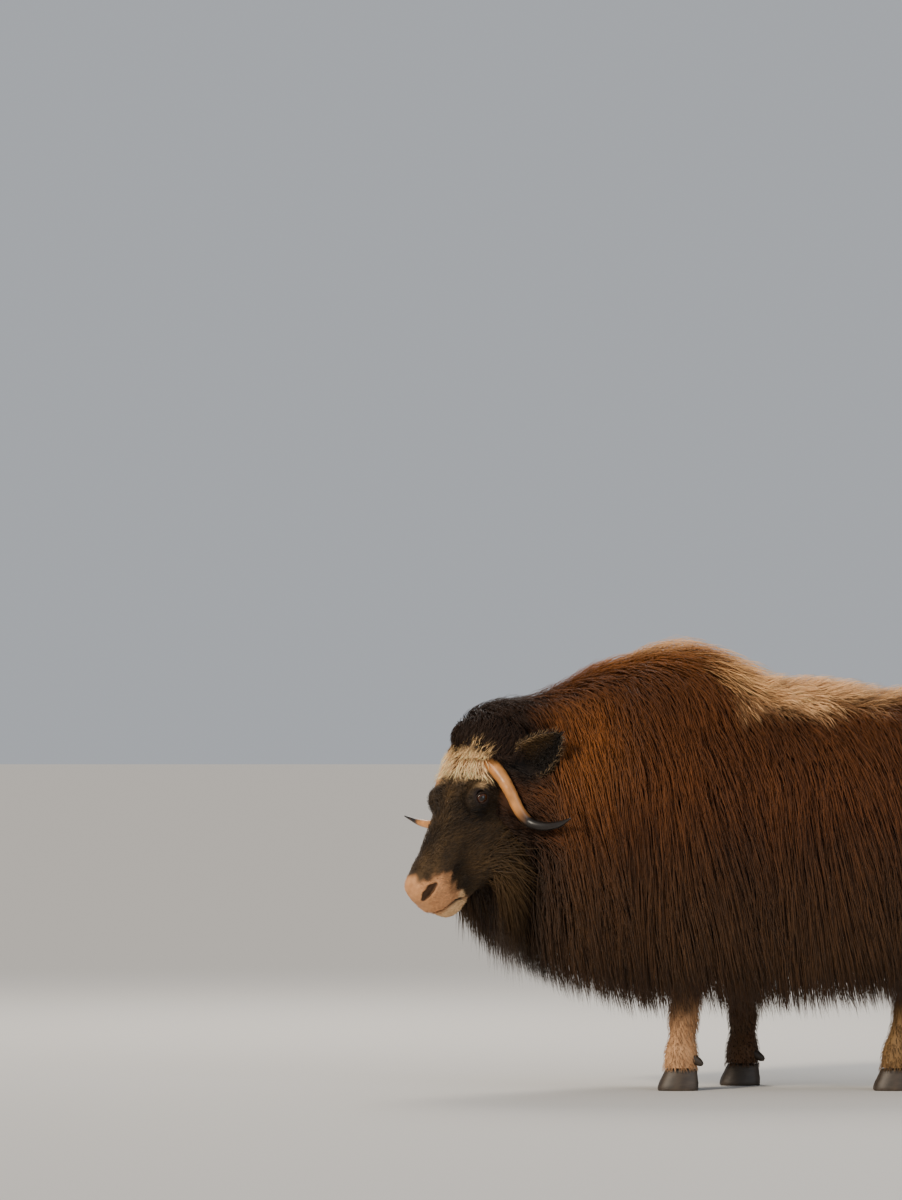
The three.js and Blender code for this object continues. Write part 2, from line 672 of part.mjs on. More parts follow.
// The trunk's nodes, each with its own locks.
const SADDLE = { from: 10, to: 470 };
const shortOnSaddle = (x, tier) => (tier === 0 && x > SADDLE.from && x < SADDLE.to ? 0.62 : 1);
const shouldersCore = (extra) => trunkCore(NECK_PLANE, BARREL_PLANE, 6, extra);
const barrelCore = (extra) => trunkCore(BARREL_PLANE + GAP, RUMP_PLANE, 4, extra);
const trunkNodes = {
  neck: coated(neckCore(0), neckCore(GAP), neckLocks()),
  shoulders: coated(shouldersCore(0), shouldersCore(GAP), [
    ...columnLocks(NECK_PLANE, BARREL_PLANE, 4, { width: 132 }),
    ...ridgeLocks(-400, -90, 3, { length: 215, lift: 62, width: 140 }),
  ]),
  barrel: coated(barrelCore(0), barrelCore(GAP), [
    ...columnLocks(BARREL_PLANE, RUMP_PLANE, 3, { width: 124, shortening: shortOnSaddle }),
    ...ridgeLocks(90, 330, 3, { length: 190, lift: 50, width: 120 }),
  ]),
  hindquarters: coated(rumpCore(0), rumpCore(GAP), [
    ...columnLocks(RUMP_PLANE, 700, 2, { width: 150 }),
    ...ridgeLocks(450, 680, 2, { length: 230, lift: 50, width: 140 }),
    ...rumpLocks(),
  ]),
};

// Legs rise to the trunk's underside, and the trunk's locks are cut clear of them.
const trunkCores = Object.values(trunkNodes).map(({ core }) => core);
const fatTrunkCores = Object.values(trunkNodes).map(({ fatCore }) => fatCore);
const fatLegs = Object.values(LEGS).map((leg) => cutBy(legSolid(leg, GAP), trunkCores));
const inTheWay = [headShape.fat, ...fatHorns, ...fatEars, ...fatLegs, tailSolid(GAP)];
const done = [];
for (const [name, { whole }] of Object.entries(trunkNodes)) {
  const later = Object.keys(trunkNodes).filter((other) => other !== name && !done.includes(other));
  const neighbours = [
    ...done.map((other) => trunkNodes[other].fat),
    ...later.map((other) => trunkNodes[other].fatCore),
  ];
  addNode(name, largest(cutBy(whole, [...inTheWay, ...neighbours])), COLOURS.coat, 0.9);
  done.push(name);
}
addNode("tail", tailSolid(0), COLOURS.coat, 0.9);

for (const [name, leg] of Object.entries(LEGS)) {
  addNode(`leg_${name}`, largest(cutBy(legSolid(leg, 0), fatTrunkCores)), COLOURS.leg, 0.9);
  const outer = Math.sign(leg.foot.y);
  for (const [place, side] of Object.entries({ outer, inner: -outer })) {
    addNode(`hoof_${name}_${place}`, clawSolid(leg.foot, side), COLOURS.hoof, 0.5);
    addNode(`dewclaw_${name}_${place}`, largest(dewclawSolid(leg, side)), COLOURS.hoof, 0.5);
  }
}

// The origin is at the middle of the animal's box, on the floor.
const box = new THREE.Box3().setFromObject(muskox);
const middle = box.getCenter(V(0, 0, 0));
muskox.position.set(-middle.x, -middle.y, -box.min.z);

export default muskox;
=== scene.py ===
"""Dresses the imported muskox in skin, hair, horn, hoof and eyes, and sets the photograph's view of it.

Every size is in metres in the design frame, where the animal faces -X, its left side faces -Y and the
floor is at zero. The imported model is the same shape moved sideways, so each mesh is moved by that much.
"""

import logging
import math
from dataclasses import dataclass, field
from enum import Enum
from typing import Callable, Iterable, Sequence

import bpy
import numpy as np
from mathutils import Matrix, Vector
from mathutils.kdtree import KDTree


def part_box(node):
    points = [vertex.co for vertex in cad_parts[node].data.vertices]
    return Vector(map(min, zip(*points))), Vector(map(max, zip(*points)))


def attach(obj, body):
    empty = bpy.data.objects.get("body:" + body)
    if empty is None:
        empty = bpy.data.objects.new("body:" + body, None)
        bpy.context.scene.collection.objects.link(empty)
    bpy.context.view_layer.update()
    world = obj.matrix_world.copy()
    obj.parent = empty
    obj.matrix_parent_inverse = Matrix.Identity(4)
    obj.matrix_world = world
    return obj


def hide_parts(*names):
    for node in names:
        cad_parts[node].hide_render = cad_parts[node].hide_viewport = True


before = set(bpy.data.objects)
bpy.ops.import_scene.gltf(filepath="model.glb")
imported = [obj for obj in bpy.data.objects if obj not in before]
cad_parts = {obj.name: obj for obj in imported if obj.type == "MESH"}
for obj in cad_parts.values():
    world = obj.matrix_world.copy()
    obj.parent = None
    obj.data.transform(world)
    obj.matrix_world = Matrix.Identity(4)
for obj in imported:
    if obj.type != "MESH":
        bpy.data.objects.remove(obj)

LOG = logging.getLogger("muskox")
MOST_TRIANGLES = 190_000  # in one piece of the coat

Array = np.ndarray
Field = Callable[[Array], Array]
Triple = tuple[float, float, float]
Spine = tuple[Array, Array]  # places along the middle of a horn or ear, and how near hair may come to each


def row(*numbers: float) -> Array:
    """Returns the numbers, given in millimetres, as an array in metres."""
    return np.array(numbers, dtype=float) / 1000.0


def unit(vectors: Array) -> Array:
    """Returns the vectors at length one."""
    return vectors / np.maximum(np.linalg.norm(vectors, axis=-1, keepdims=True), 1e-12)


def dot(a: Array, b: Array) -> Array:
    """Returns the products of paired vectors, kept as a column."""
    return np.sum(a * b, axis=-1, keepdims=True)


def ramp(value: Array, start: float, end: float) -> Array:
    """Returns a soft step that is 0 before start and 1 after end, whichever of them is larger."""
    t = np.clip((np.asarray(value, dtype=float) - start) / (end - start), 0.0, 1.0)
    return t * t * (3.0 - 2.0 * t)


def srgb(red: int, green: int, blue: int) -> Array:
    """Returns the linear colour of a screen colour given as 0 to 255."""
    c = np.array([red, green, blue], dtype=float) / 255.0
    return np.where(c <= 0.04045, c / 12.92, ((c + 0.055) / 1.055) ** 2.4)


def mix(a: Array, b: Array, share: Array) -> Array:
    """Returns a blend of two colours or values, by a share for each point."""
    share = np.asarray(share)
    return a * (1.0 - share) + b * share


# Soft noise over space, made of a few sine waves that don't repeat together
NOISE_WAVES = np.random.default_rng(11).normal(0.0, 1.0, (6, 4))


def drift(points: Array, size: float, which: int = 0) -> Array:
    """Returns smooth values between about -1 and 1 that change over the given size.

    Args:
        points: places, as rows.
        size: how far apart unlike values lie, in metres.
        which: a number that picks one of many such patterns.

    Returns:
        One value for each place.
    """
    total = np.zeros(len(points))
    for i, (x, y, z, phase) in enumerate(NOISE_WAVES):
        angle = (points @ np.array([x, y, z])) * 3.1 / size + phase * 5.0 + which * (1.7 + i)
        total += np.sin(angle)
    return total / 3.0


def ellipsoid(centre: Array, radii: Array) -> Field:
    """Makes the field of an ellipsoid: about how far outside it each point lies.

    Args:
        centre: its middle.
        radii: how far it reaches along X, Y and Z.

    Returns:
        A function of places, in metres.
    """

    def distance(p: Array) -> Array:
        q = (p - centre) / radii
        near = np.linalg.norm(q, axis=-1)
        return near * (near - 1.0) / np.maximum(np.linalg.norm(q / radii, axis=-1), 1e-6)

    return distance


def taper(start: Array, end: Array, start_radius: float, end_radius: float) -> Field:
    """Makes the field of a rod with round ends whose radius changes along it.

    Args:
        start: the middle of one end.
        end: the middle of the other.
        start_radius: the radius at the start.
        end_radius: the radius at the end.

    Returns:
        A function of places, in metres.
    """
    along = end - start

    def distance(p: Array) -> Array:
        share = np.clip((p - start) @ along / (along @ along), 0.0, 1.0)
        reach = np.linalg.norm(p - start - share[..., None] * along, axis=-1)
        return reach - (start_radius + (end_radius - start_radius) * share)

    return distance


def rods(line: Sequence[Array], radii: Sequence[float]) -> list[Field]:
    """Returns the fields of the rods between a line's points, each with its own radius."""
    return [taper(a, b, r, s) for a, b, r, s in zip(line, line[1:], radii, radii[1:])]


def soften(a: Array, b: Array, softness: float) -> Array:
    """Returns the union of two fields, with a soft valley where they meet."""
    h = np.maximum(softness - np.abs(a - b), 0.0) / softness
    return np.minimum(a, b) - h * h * softness * 0.25


def blended(forms: Sequence[Field], softness: float) -> Field:
    """Joins the fields of several forms that run into one another.

    Args:
        forms: the fields to join.
        softness: how wide the valleys are where they meet.

    Returns:
        A function of places, in metres.
    """

    def distance(p: Array) -> Array:
        total = forms[0](p)
        for form in forms[1:]:
            total = soften(total, form(p), softness)
        return total

    return distance


def slope(form: Field, points: Array, step: float = 0.002) -> Array:
    """Finds the way straight out of a form at each point.

    Args:
        form: the field.
        points: the places.
        step: how far to each side the field is read.

    Returns:
        A direction for each place, at length one.
    """
    out = np.empty_like(points)
    for axis in range(3):
        shift = np.zeros(3)
        shift[axis] = step
        out[:, axis] = form(points + shift) - form(points - shift)
    return unit(out)


class Side(Enum):
    """The animal's two sides, as the sign of its own left."""

    LEFT = 1
    RIGHT = -1

    @property
    def word(self) -> str:
        """The side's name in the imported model."""
        return self.name.lower()

    @property
    def mirror(self) -> Array:
        """The factors that bring a head place of the left side to this side."""
        return np.array([1, 1, self.value])


@dataclass(frozen=True)
class HeadPose:
    """Where the head is: the nose tip, how far the face turns left, and how steeply it hangs."""

    nose: Array = field(default_factory=lambda: row(-932, -257, 577))
    yaw: float = math.radians(43)
    hang: float = math.radians(38)

    @property
    def axes(self) -> Array:
        """The ways back along the face, up through the brow, and to the animal's left.

        Returns:
            Three directions in the design frame, as rows.
        """
        facing = np.array([-math.cos(self.yaw), -math.sin(self.yaw), 0.0])
        up = np.array([0.0, 0.0, 1.0])
        back = -facing * math.sin(self.hang) + up * math.cos(self.hang)
        brow = facing * math.cos(self.hang) + up * math.sin(self.hang)
        return np.stack([back, brow, np.array([math.sin(self.yaw), -math.cos(self.yaw), 0.0])])

    def place(self, local: Array) -> Array:
        """Returns the design places of head places given in metres."""
        return self.nose + local @ self.axes

    def turn(self, local: Array) -> Array:
        """Returns the design direction of head directions, at length one."""
        return unit(np.asarray(local, dtype=float) @ self.axes)

    def local(self, points: Array) -> Array:
        """Returns the head places of design places."""
        return (points - self.nose) @ self.axes.T


@dataclass(frozen=True)
class Leg:
    """One leg: its joints from inside the belly to the pastern, the radius at each, and the foot's middle."""

    name: str
    joints: Sequence[Array]
    radii: Sequence[float]
    foot: Array

    def form(self) -> Field:
        """Returns the leg's field, with the knuckles of its lower joints."""
        return blended(rods(self.joints, self.radii), 0.03)


def four_legs() -> list[Leg]:
    """Sets the legs in their places: the animal is in mid-step.

    Returns:
        The fore left, fore right, hind left and hind right legs.
    """
    fore = [0.070, 0.066, 0.047, 0.033, 0.039, 0.045]
    hind = [0.080, 0.078, 0.046, 0.034, 0.040, 0.045]
    joints = {
        "fore_left": [
            (-130, -105, 640),
            (-138, -132, 480),
            (-162, -148, 320),
            (-174, -150, 200),
            (-180, -150, 100),
            (-184, -150, 55),
        ],
        "fore_right": [
            (-90, 105, 640),
            (-50, 132, 480),
            (0, 146, 320),
            (10, 148, 200),
            (8, 148, 100),
            (6, 148, 55),
        ],
        "hind_left": [
            (520, -100, 660),
            (475, -128, 510),
            (500, -150, 375),
            (474, -150, 240),
            (446, -150, 105),
            (438, -150, 55),
        ],
        "hind_right": [
            (640, 100, 660),
            (668, 128, 510),
            (748, 150, 375),
            (730, 150, 240),
            (710, 150, 105),
            (704, 150, 55),
        ],
    }
    feet = {
        "fore_left": (-190, -150, 0),
        "fore_right": (0, 148, 0),
        "hind_left": (430, -150, 0),
        "hind_right": (698, 150, 0),
    }
    return [
        Leg(name, [row(*j) for j in joints[name]], fore if "fore" in name else hind, row(*feet[name]))
        for name in joints
    ]


@dataclass
class Anatomy:
    """The flesh: named rounded forms run into one another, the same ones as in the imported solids."""

    pose: HeadPose = field(default_factory=HeadPose)
    eye: Array = field(default_factory=lambda: row(302, 44, 95))
    eye_radius: float = 0.019
    poll: Array = field(default_factory=lambda: row(-720, -98, 1008))
    widest: float = 0.740  # height under which the coat hangs clear of the flesh
    lip_depth: float = 0.010
    lip_width: float = 0.0052
    mouth_back: Sequence[float] = (-0.070, -0.018, 0.014, 0.044, 0.066)  # from the lips to the corner
    mouth_up: Sequence[float] = (-0.074, -0.080, -0.086, -0.100, -0.122)

    def __post_init__(self) -> None:
        """Makes the fields of the trunk, the skull, the legs and the tail once."""
        self.legs = four_legs()
        self.trunk = blended(
            [
                ellipsoid(row(130, 0, 802), row(600, 258, 322)),  # barrel
                ellipsoid(row(-190, 0, 850), row(300, 236, 350)),  # shoulders
                ellipsoid(row(-240, 0, 1070), row(245, 108, 155)),  # hump over the withers
                ellipsoid(row(610, 0, 815), row(315, 246, 304)),  # hindquarters
                ellipsoid(row(-400, -5, 690), row(170, 180, 210)),  # brisket
                taper(row(-330, 0, 860), row(-650, -65, 835), 0.232, 0.128),  # neck
                taper(row(-400, 0, 1050), row(-650, -60, 1005), 0.118, 0.086),  # crest of the neck
                ellipsoid(self.poll, row(108, 78, 86)),  # woolly poll behind the horns
            ],
            0.090,
        )
        self.skull = blended(
            [
                taper(row(330, -5, 0), row(90, -12, 0), 0.085, 0.060),  # face
                ellipsoid(row(45, -28, 0), row(72, 74, 64)),  # muzzle
                ellipsoid(row(8, -2, 0), row(36, 44, 46)),  # nose pad
                ellipsoid(row(20, -62, 0), row(46, 34, 52)),  # upper lip
                ellipsoid(row(38, -108, 0), row(44, 36, 42)),  # chin
                taper(row(290, -110, 0), row(80, -100, 0), 0.088, 0.046),  # jaw
                ellipsoid(row(245, -85, 50), row(110, 75, 52)),  # left cheek
                ellipsoid(row(245, -85, -50), row(110, 75, 52)),  # right cheek
                ellipsoid(row(385, 0, 0), row(110, 95, 105)),  # cranium
                ellipsoid(row(430, 45, 0), row(70, 58, 95)),  # crown between the horns
                ellipsoid(row(300, 40, 78), row(44, 36, 28)),  # left eye's rim
                ellipsoid(row(300, 40, -78), row(44, 36, 28)),  # right eye's rim
                ellipsoid(row(390, -100, 0), row(110, 100, 105)),  # throat
            ],
            0.028,
        )
        self.limbs = blended([leg.form() for leg in self.legs], 0.004)
        tail = [row(880, 0, 880), row(932, 0, 868), row(958, 0, 815), row(962, 0, 755)]
        self.tail = blended(rods(tail, (0.026, 0.026, 0.022, 0.012)), 0.02)
        self.nostrils = self._nostrils()

    def head_bare(self, p: Array) -> Array:
        """Returns the head's field without its mouth, nostrils and eye sockets."""
        return self.skull(self.pose.local(p))

    def _nostrils(self) -> Field:
        """Makes the field of the two comma-shaped nostrils.

        Returns:
            A function of head places, in metres.
        """
        inside = row(30, -20, 0)
        # The way from there to each place of the left nostril, and how deep under the skin it lies
        marks = [
            ((-1, 0.18, 0.42), 0.002),
            ((-0.9, 0.42, 0.78), 0.006),
            ((-0.55, 0.5, 1), 0.005),
            ((-0.15, 0.38, 1), 0.001),
        ]
        radii = (0.005, 0.0115, 0.0115, 0.0045)
        reaches = np.linspace(0.0, 0.14, 400)[:, None]
        holes: list[Field] = []
        for side in Side:
            line = []
            for way, depth in marks:
                ray = inside + reaches * unit(np.array(way, dtype=float) * side.mirror)
                line.append(ray[np.argmax(self.skull(ray) > -depth)])
            holes += rods(line, radii)
        return blended(holes, 0.003)

    def mouth(self, local: Array) -> Array:
        """Finds how deep the line of the mouth cuts into the muzzle.

        Args:
            local: the head places.

        Returns:
            A depth for each, in metres.
        """
        line = np.interp(local[:, 0], self.mouth_back, self.mouth_up)
        ends = ramp(local[:, 0], 0.072, 0.056)
        return self.lip_depth * ends * np.exp(-(((local[:, 1] - line) / self.lip_width) ** 2))

    def head(self, p: Array) -> Array:
        """Reads the head's field with its mouth, nostrils and eye sockets.

        Args:
            p: the design places.

        Returns:
            One value for each place, in metres.
        """
        local = self.pose.local(p)
        total = self.skull(local) + self.mouth(local)
        total = -soften(-total, self.nostrils(local), 0.003)
        for side in Side:
            from_eye = np.linalg.norm(local - self.eye * side.mirror, axis=-1)
            total = -soften(-total, from_eye - self.eye_radius - 0.001, 0.003)
        return total

    def body(self, p: Array) -> Array:
        """Reads the field of the whole animal under its coat.

        Args:
            p: the design places.

        Returns:
            One value for each place, in metres.
        """
        total = self.trunk(p)
        parts = [
            (p[:, 0] > 0.84, self.tail, 0.02),
            (p[:, 2] < 0.72, self.limbs, 0.04),
            (np.linalg.norm(p - self.pose.place(row(250, -40, 0)), axis=-1) < 0.40, self.head, 0.02),
        ]
        for near, form, softness in parts:
            if near.any():
                total[near] = soften(total[near], form(p[near]), softness)
        return total

    def hung(self, drape: float) -> Field:
        """Draws the lower half of the trunk's field down, as wool and hanging hair fill it.

        Args:
            drape: the share of its depth under the widest part at which a low place is read.

        Returns:
            A function of design places.
        """

        def distance(p: Array) -> Array:
            low = p[:, 2] < self.widest
            q = p.copy()
            q[low, 2] = self.widest - (self.widest - p[low, 2]) * drape
            return self.trunk(q)

        return distance

    def is_head(self, p: Array) -> Array:
        """Tells which skin places belong to the head and not to the neck.

        Args:
            p: the design places.

        Returns:
            True for each place on the head.
        """
        local = self.pose.local(p)
        near = self.skull(local) < self.trunk(p) - 0.004
        return near & (local[:, 0] < 0.52)

    def nearest_leg(self, p: Array) -> Array:
        """Returns the number of the leg whose foot is nearest to each place, in plan."""
        feet = np.array([leg.foot[:2] for leg in self.legs])
        return np.argmin(np.linalg.norm(p[:, None, :2] - feet[None], axis=-1), axis=1)

    def is_limb(self, p: Array) -> Array:
        """Tells which skin places belong to the legs."""
        return self.limbs(p) < np.minimum(self.trunk(p), 0.02)


@dataclass(frozen=True)
class Markings:
    """The animal's colours by place, worked out the same way for its skin and for its hair."""

    brown: Array = field(default_factory=lambda: srgb(88, 49, 18))
    umber: Array = field(default_factory=lambda: srgb(60, 39, 18))
    chestnut: Array = field(default_factory=lambda: srgb(146, 86, 30))
    saddle: Array = field(default_factory=lambda: srgb(240, 188, 132))
    black: Array = field(default_factory=lambda: srgb(22, 15, 9))
    grizzle: Array = field(default_factory=lambda: srgb(84, 63, 37))
    cream: Array = field(default_factory=lambda: srgb(242, 202, 150))
    muzzle: Array = field(default_factory=lambda: srgb(208, 150, 102))
    nose: Array = field(default_factory=lambda: srgb(36, 26, 22))
    # Stockings of the near fore, far fore, near hind and far hind legs, as lit and shaded copies of one pale
    # colour: the near fore's is lit, and the far legs' are darker with painted shade
    lit_and_shaded_stockings: Array = field(
        default_factory=lambda: np.stack(
            [srgb(204, 156, 112), srgb(84, 62, 42), srgb(126, 98, 62), srgb(104, 80, 52)]
        )
    )

    def trunk(self, p: Array) -> Array:
        """Colours the trunk.

        Args:
            p: the design places.

        Returns:
            A linear colour for each.
        """
        low = ramp(p[:, 2] + 0.05 * drift(p, 0.35, 1), 0.80, 0.40)[:, None]
        colour = mix(self.brown, self.umber, low)
        front = ramp(p[:, 0] + 0.03 * drift(p, 0.2, 2), -0.46, -0.60)[:, None]
        throat = front * ramp(p[:, 2] + 0.04 * drift(p, 0.2, 7), 0.92, 0.74)[:, None]
        colour = mix(colour, self.black * 1.5, throat * 0.75)
        behind_ear = np.exp(-(((p[:, 0] + 0.45) / 0.11) ** 2) - (((p[:, 2] - 0.93) / 0.14) ** 2))
        colour = mix(colour, self.chestnut, np.clip(behind_ear * 0.75, 0, 1)[:, None])
        poll = ramp(p[:, 0] + 0.02 * drift(p, 0.06, 15), -0.52, -0.62) * ramp(p[:, 2], 0.86, 0.93)
        colour = mix(colour, self.black * 1.2, (poll * 0.85)[:, None])
        forelock = ramp(p[:, 2] + 0.010 * drift(p, 0.03, 16), 1.002, 0.978) * ramp(p[:, 0], -0.722, -0.748)
        colour = mix(colour, self.cream, forelock[:, None])
        # A black patch by the ear's root on the neck: painted shadow of the ear
        painted_ear_shadow = np.exp(-((np.linalg.norm(p - row(-628, -150, 922), axis=1) / 0.068) ** 4))
        colour = mix(colour, self.black, (painted_ear_shadow * 0.85)[:, None])
        # Painted rim light: the top of the hump is warmer and the crest paler, as where the light catches
        # them
        hump = ramp(p[:, 2] + 0.02 * drift(p, 0.12, 3), 1.16, 1.25)[:, None]
        colour = mix(colour, self.chestnut, hump * 0.55)
        crest = ramp(p[:, 2] + 0.008 * drift(p, 0.08, 17), 1.235, 1.290)[:, None]
        colour = mix(colour, self.saddle, crest * 0.6)
        return mix(colour, self.saddle, self.on_saddle(p)[:, None])

    def on_saddle(self, p: Array) -> Array:
        """Finds how far each place lies on the pale saddle, which narrows and fades towards the rump.

        Args:
            p: the design places.

        Returns:
            A share for each, from 0 to 1.
        """
        edge = 0.025 * drift(p, 0.10, 4) + 0.020 * drift(p, 0.04, 5)
        narrow = 0.030 * ramp(p[:, 0], 0.18, 0.46)
        height = ramp(p[:, 2] + 0.7 * edge - narrow, 1.060, 1.125)
        front = ramp(p[:, 0] + edge, -0.02, 0.06)
        back = ramp(p[:, 0] + 2.0 * edge, 0.68, 0.42)
        return height * front * back

    def head(self, local: Array) -> Array:
        """Colours the head.

        Args:
            local: the head places.

        Returns:
            A linear colour for each.
        """
        back, up, left = local[:, 0], local[:, 1], np.abs(local[:, 2])
        colour = mix(self.black, self.grizzle, (0.45 + 0.3 * drift(local, 0.05, 6))[:, None].clip(0, 1))
        cheek = ramp(up, 0.0, -0.07) * ramp(back, 0.09, 0.15)
        colour = mix(colour, self.grizzle, (cheek * 0.55)[:, None])
        beard = ramp(up, -0.10, -0.17) * ramp(back, 0.10, 0.18)
        colour = mix(colour, self.umber * 0.8, beard[:, None])
        near_eye = np.exp(-(((back - 0.275) / 0.06) ** 2) - (((up - 0.03) / 0.05) ** 2))
        near_eye = near_eye * ramp(left, 0.03, 0.06)
        colour = mix(colour, self.black * 0.7, np.clip(near_eye, 0, 1)[:, None])
        edge = 0.012 * drift(local, 0.03, 8)
        forehead = ramp(back + edge, 0.315, 0.375) * ramp(up + edge, 0.035, 0.075)
        colour = mix(colour, self.cream, forehead[:, None])
        band = ramp(back + edge, 0.070, 0.036) * ramp(up, 0.030, 0.008)
        lips = ramp(back + 0.4 * (up + 0.08) + edge, 0.075, 0.045)
        flesh = mix(self.muzzle, self.brown, (0.12 + 0.12 * drift(local, 0.016, 18)).clip(0, 1)[:, None])
        colour = mix(colour, flesh, np.clip(np.maximum(band, lips), 0, 1)[:, None])
        chin = ramp(up, -0.085, -0.10) * ramp(back + edge, 0.085, 0.06)
        return mix(colour, self.cream, (chin * 0.7)[:, None])

    def limb(self, p: Array, which: Array) -> Array:
        """Colours the legs.

        Args:
            p: the design places.
            which: the number of the leg that each lies on.

        Returns:
            A linear colour for each.
        """
        pale = ramp(p[:, 2] + 0.02 * drift(p, 0.05, 9), 0.32, 0.21)[:, None]
        # Each leg's stocking carries painted light: lit on the near fore, darker with painted shade on the
        # far legs
        colour = mix(self.brown * 0.8, self.lit_and_shaded_stockings[which], pale)
        return mix(colour, self.brown, 0.18 + 0.15 * drift(p, 0.04, 10)[:, None])


@dataclass(frozen=True)
class Shader:
    """A node material whose colour comes from the mesh and whose fine grain comes from noise."""

    name: str
    roughness: float = 0.6
    specular: float = 0.3
    grain: float = 0.15  # how much the noise darkens and lightens
    grain_scale: float = 300.0
    bump: float = 0.0
    bump_depth: float = 0.001
    stretch: Triple = (1.0, 1.0, 1.0)
    sheen: float = 0.0

    def material(self) -> bpy.types.Material:
        """Makes the material's nodes.

        Returns:
            The material.
        """
        made = bpy.data.materials.new(self.name)
        made.use_nodes = True
        nodes, links = made.node_tree.nodes, made.node_tree.links
        shader = nodes["Principled BSDF"]
        shader.inputs["Roughness"].default_value = self.roughness
        shader.inputs["Specular IOR Level"].default_value = self.specular
        shader.inputs["Sheen Weight"].default_value = self.sheen
        colour = nodes.new("ShaderNodeAttribute")
        colour.attribute_name = "hue"
        place = nodes.new("ShaderNodeTexCoord")
        mapping = nodes.new("ShaderNodeMapping")
        mapping.inputs["Scale"].default_value = self.stretch
        links.new(place.outputs["Object"], mapping.inputs["Vector"])
        noise = nodes.new("ShaderNodeTexNoise")
        noise.inputs["Scale"].default_value = self.grain_scale
        noise.inputs["Detail"].default_value = 3.0
        links.new(mapping.outputs["Vector"], noise.inputs["Vector"])
        shade = nodes.new("ShaderNodeMapRange")
        shade.inputs["To Min"].default_value = 1.0 - self.grain
        shade.inputs["To Max"].default_value = 1.0 + self.grain
        links.new(noise.outputs["Fac"], shade.inputs["Value"])
        grained = nodes.new("ShaderNodeVectorMath")
        grained.operation = "SCALE"
        links.new(colour.outputs["Color"], grained.inputs["Vector"])
        links.new(shade.outputs["Result"], grained.inputs["Scale"])
        links.new(grained.outputs["Vector"], shader.inputs["Base Color"])
        if self.bump:
            relief = nodes.new("ShaderNodeBump")
            relief.inputs["Strength"].default_value = self.bump
            relief.inputs["Distance"].default_value = self.bump_depth
            links.new(noise.outputs["Fac"], relief.inputs["Height"])
            links.new(relief.outputs["Normal"], shader.inputs["Normal"])
        return made


class Bench:
    """Makes meshes from arrays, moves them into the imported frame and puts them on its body."""

    def __init__(self, anatomy: Anatomy) -> None:
        """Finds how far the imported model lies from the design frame, by its left eye.

        Args:
            anatomy: the flesh, which knows where the eye was designed.
        """
        low, high = (np.array(corner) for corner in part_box("eye_left"))
        designed = anatomy.pose.place(anatomy.eye)
        self.shift = (low + high) / 2.0 - designed

    def piece(
        self,
        name: str,
        points: Array,
        faces: Array,
        hue: Array,
        shader: Shader,
        replaces: Iterable[str] = (),
        uv: Array | None = None,
    ) -> bpy.types.Object:
        """Makes one piece of the animal.

        Args:
            name: the piece's name.
            points: its corners in the design frame.
            faces: its faces, all with as many corners, as rows of point numbers.
            hue: a linear colour for each corner.
            shader: its finish.
            replaces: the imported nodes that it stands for.
            uv: a place on the unwrap for each corner of each face, if it has one.

        Returns:
            The object.
        """
        mesh = bpy.data.meshes.new(name)
        mesh.vertices.add(len(points))
        mesh.vertices.foreach_set("co", (points + self.shift).astype(np.float32).ravel())
        corners = faces.shape[1]
        mesh.loops.add(faces.size)
        mesh.loops.foreach_set("vertex_index", faces.astype(np.int32).ravel())
        mesh.polygons.add(len(faces))
        mesh.polygons.foreach_set("loop_start", np.arange(0, faces.size, corners, dtype=np.int32))
        mesh.polygons.foreach_set("use_smooth", np.ones(len(faces), dtype=bool))
        mesh.update(calc_edges=True)
        colours = np.ones((len(points), 4), dtype=np.float32)
        colours[:, :3] = np.clip(hue, 0.0, 1.0)
        mesh.attributes.new("hue", "FLOAT_COLOR", "POINT").data.foreach_set("color", colours.ravel())
        if uv is not None:
            mesh.uv_layers.new(name="OFBake").data.foreach_set("uv", uv.astype(np.float32).ravel())
        mesh.materials.append(self.finish(shader))
        made = bpy.data.objects.new(name, mesh)
        bpy.context.collection.objects.link(made)
        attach(made, "root")
        nodes = list(replaces)
        if nodes:
            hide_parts(*nodes)
        LOG.info("%s: %d faces", name, len(faces))
        return made

    def finish(self, shader: Shader) -> bpy.types.Material:
        """Returns the shader's material, making it the first time."""
        return bpy.data.materials.get(shader.name) or shader.material()


def loft_faces(rings: int, count: int) -> Array:
    """Returns the quads between rings of points that follow one another.

    Args:
        rings: how many rings there are.
        count: how many points each has.

    Returns:
        Rows of four point numbers.
    """
    i, j = np.meshgrid(np.arange(rings - 1), np.arange(count), indexing="ij")
    a = i * count + j
    b = i * count + (j + 1) % count
    return np.stack([a, b, b + count, a + count], axis=-1).reshape(-1, 4)


def smooth_path(points: Sequence[Array], steps: int) -> Array:
    """Runs a smooth curve through points.

    Args:
        points: the places that it passes through.
        steps: how many places to return.

    Returns:
        The places, as rows.
    """
    p = np.array([2 * points[0] - points[1], *points, 2 * points[-1] - points[-2]])
    at = np.linspace(0, len(points) - 1, steps)
    i = np.minimum(at.astype(int), len(points) - 2)
    t = (at - i)[:, None]
    a, b, c, d = p[i], p[i + 1], p[i + 2], p[i + 3]
    return 0.5 * (2 * b + (c - a) * t + (2 * a - 5 * b + 4 * c - d) * t**2 + (3 * b - a - 3 * c + d) * t**3)


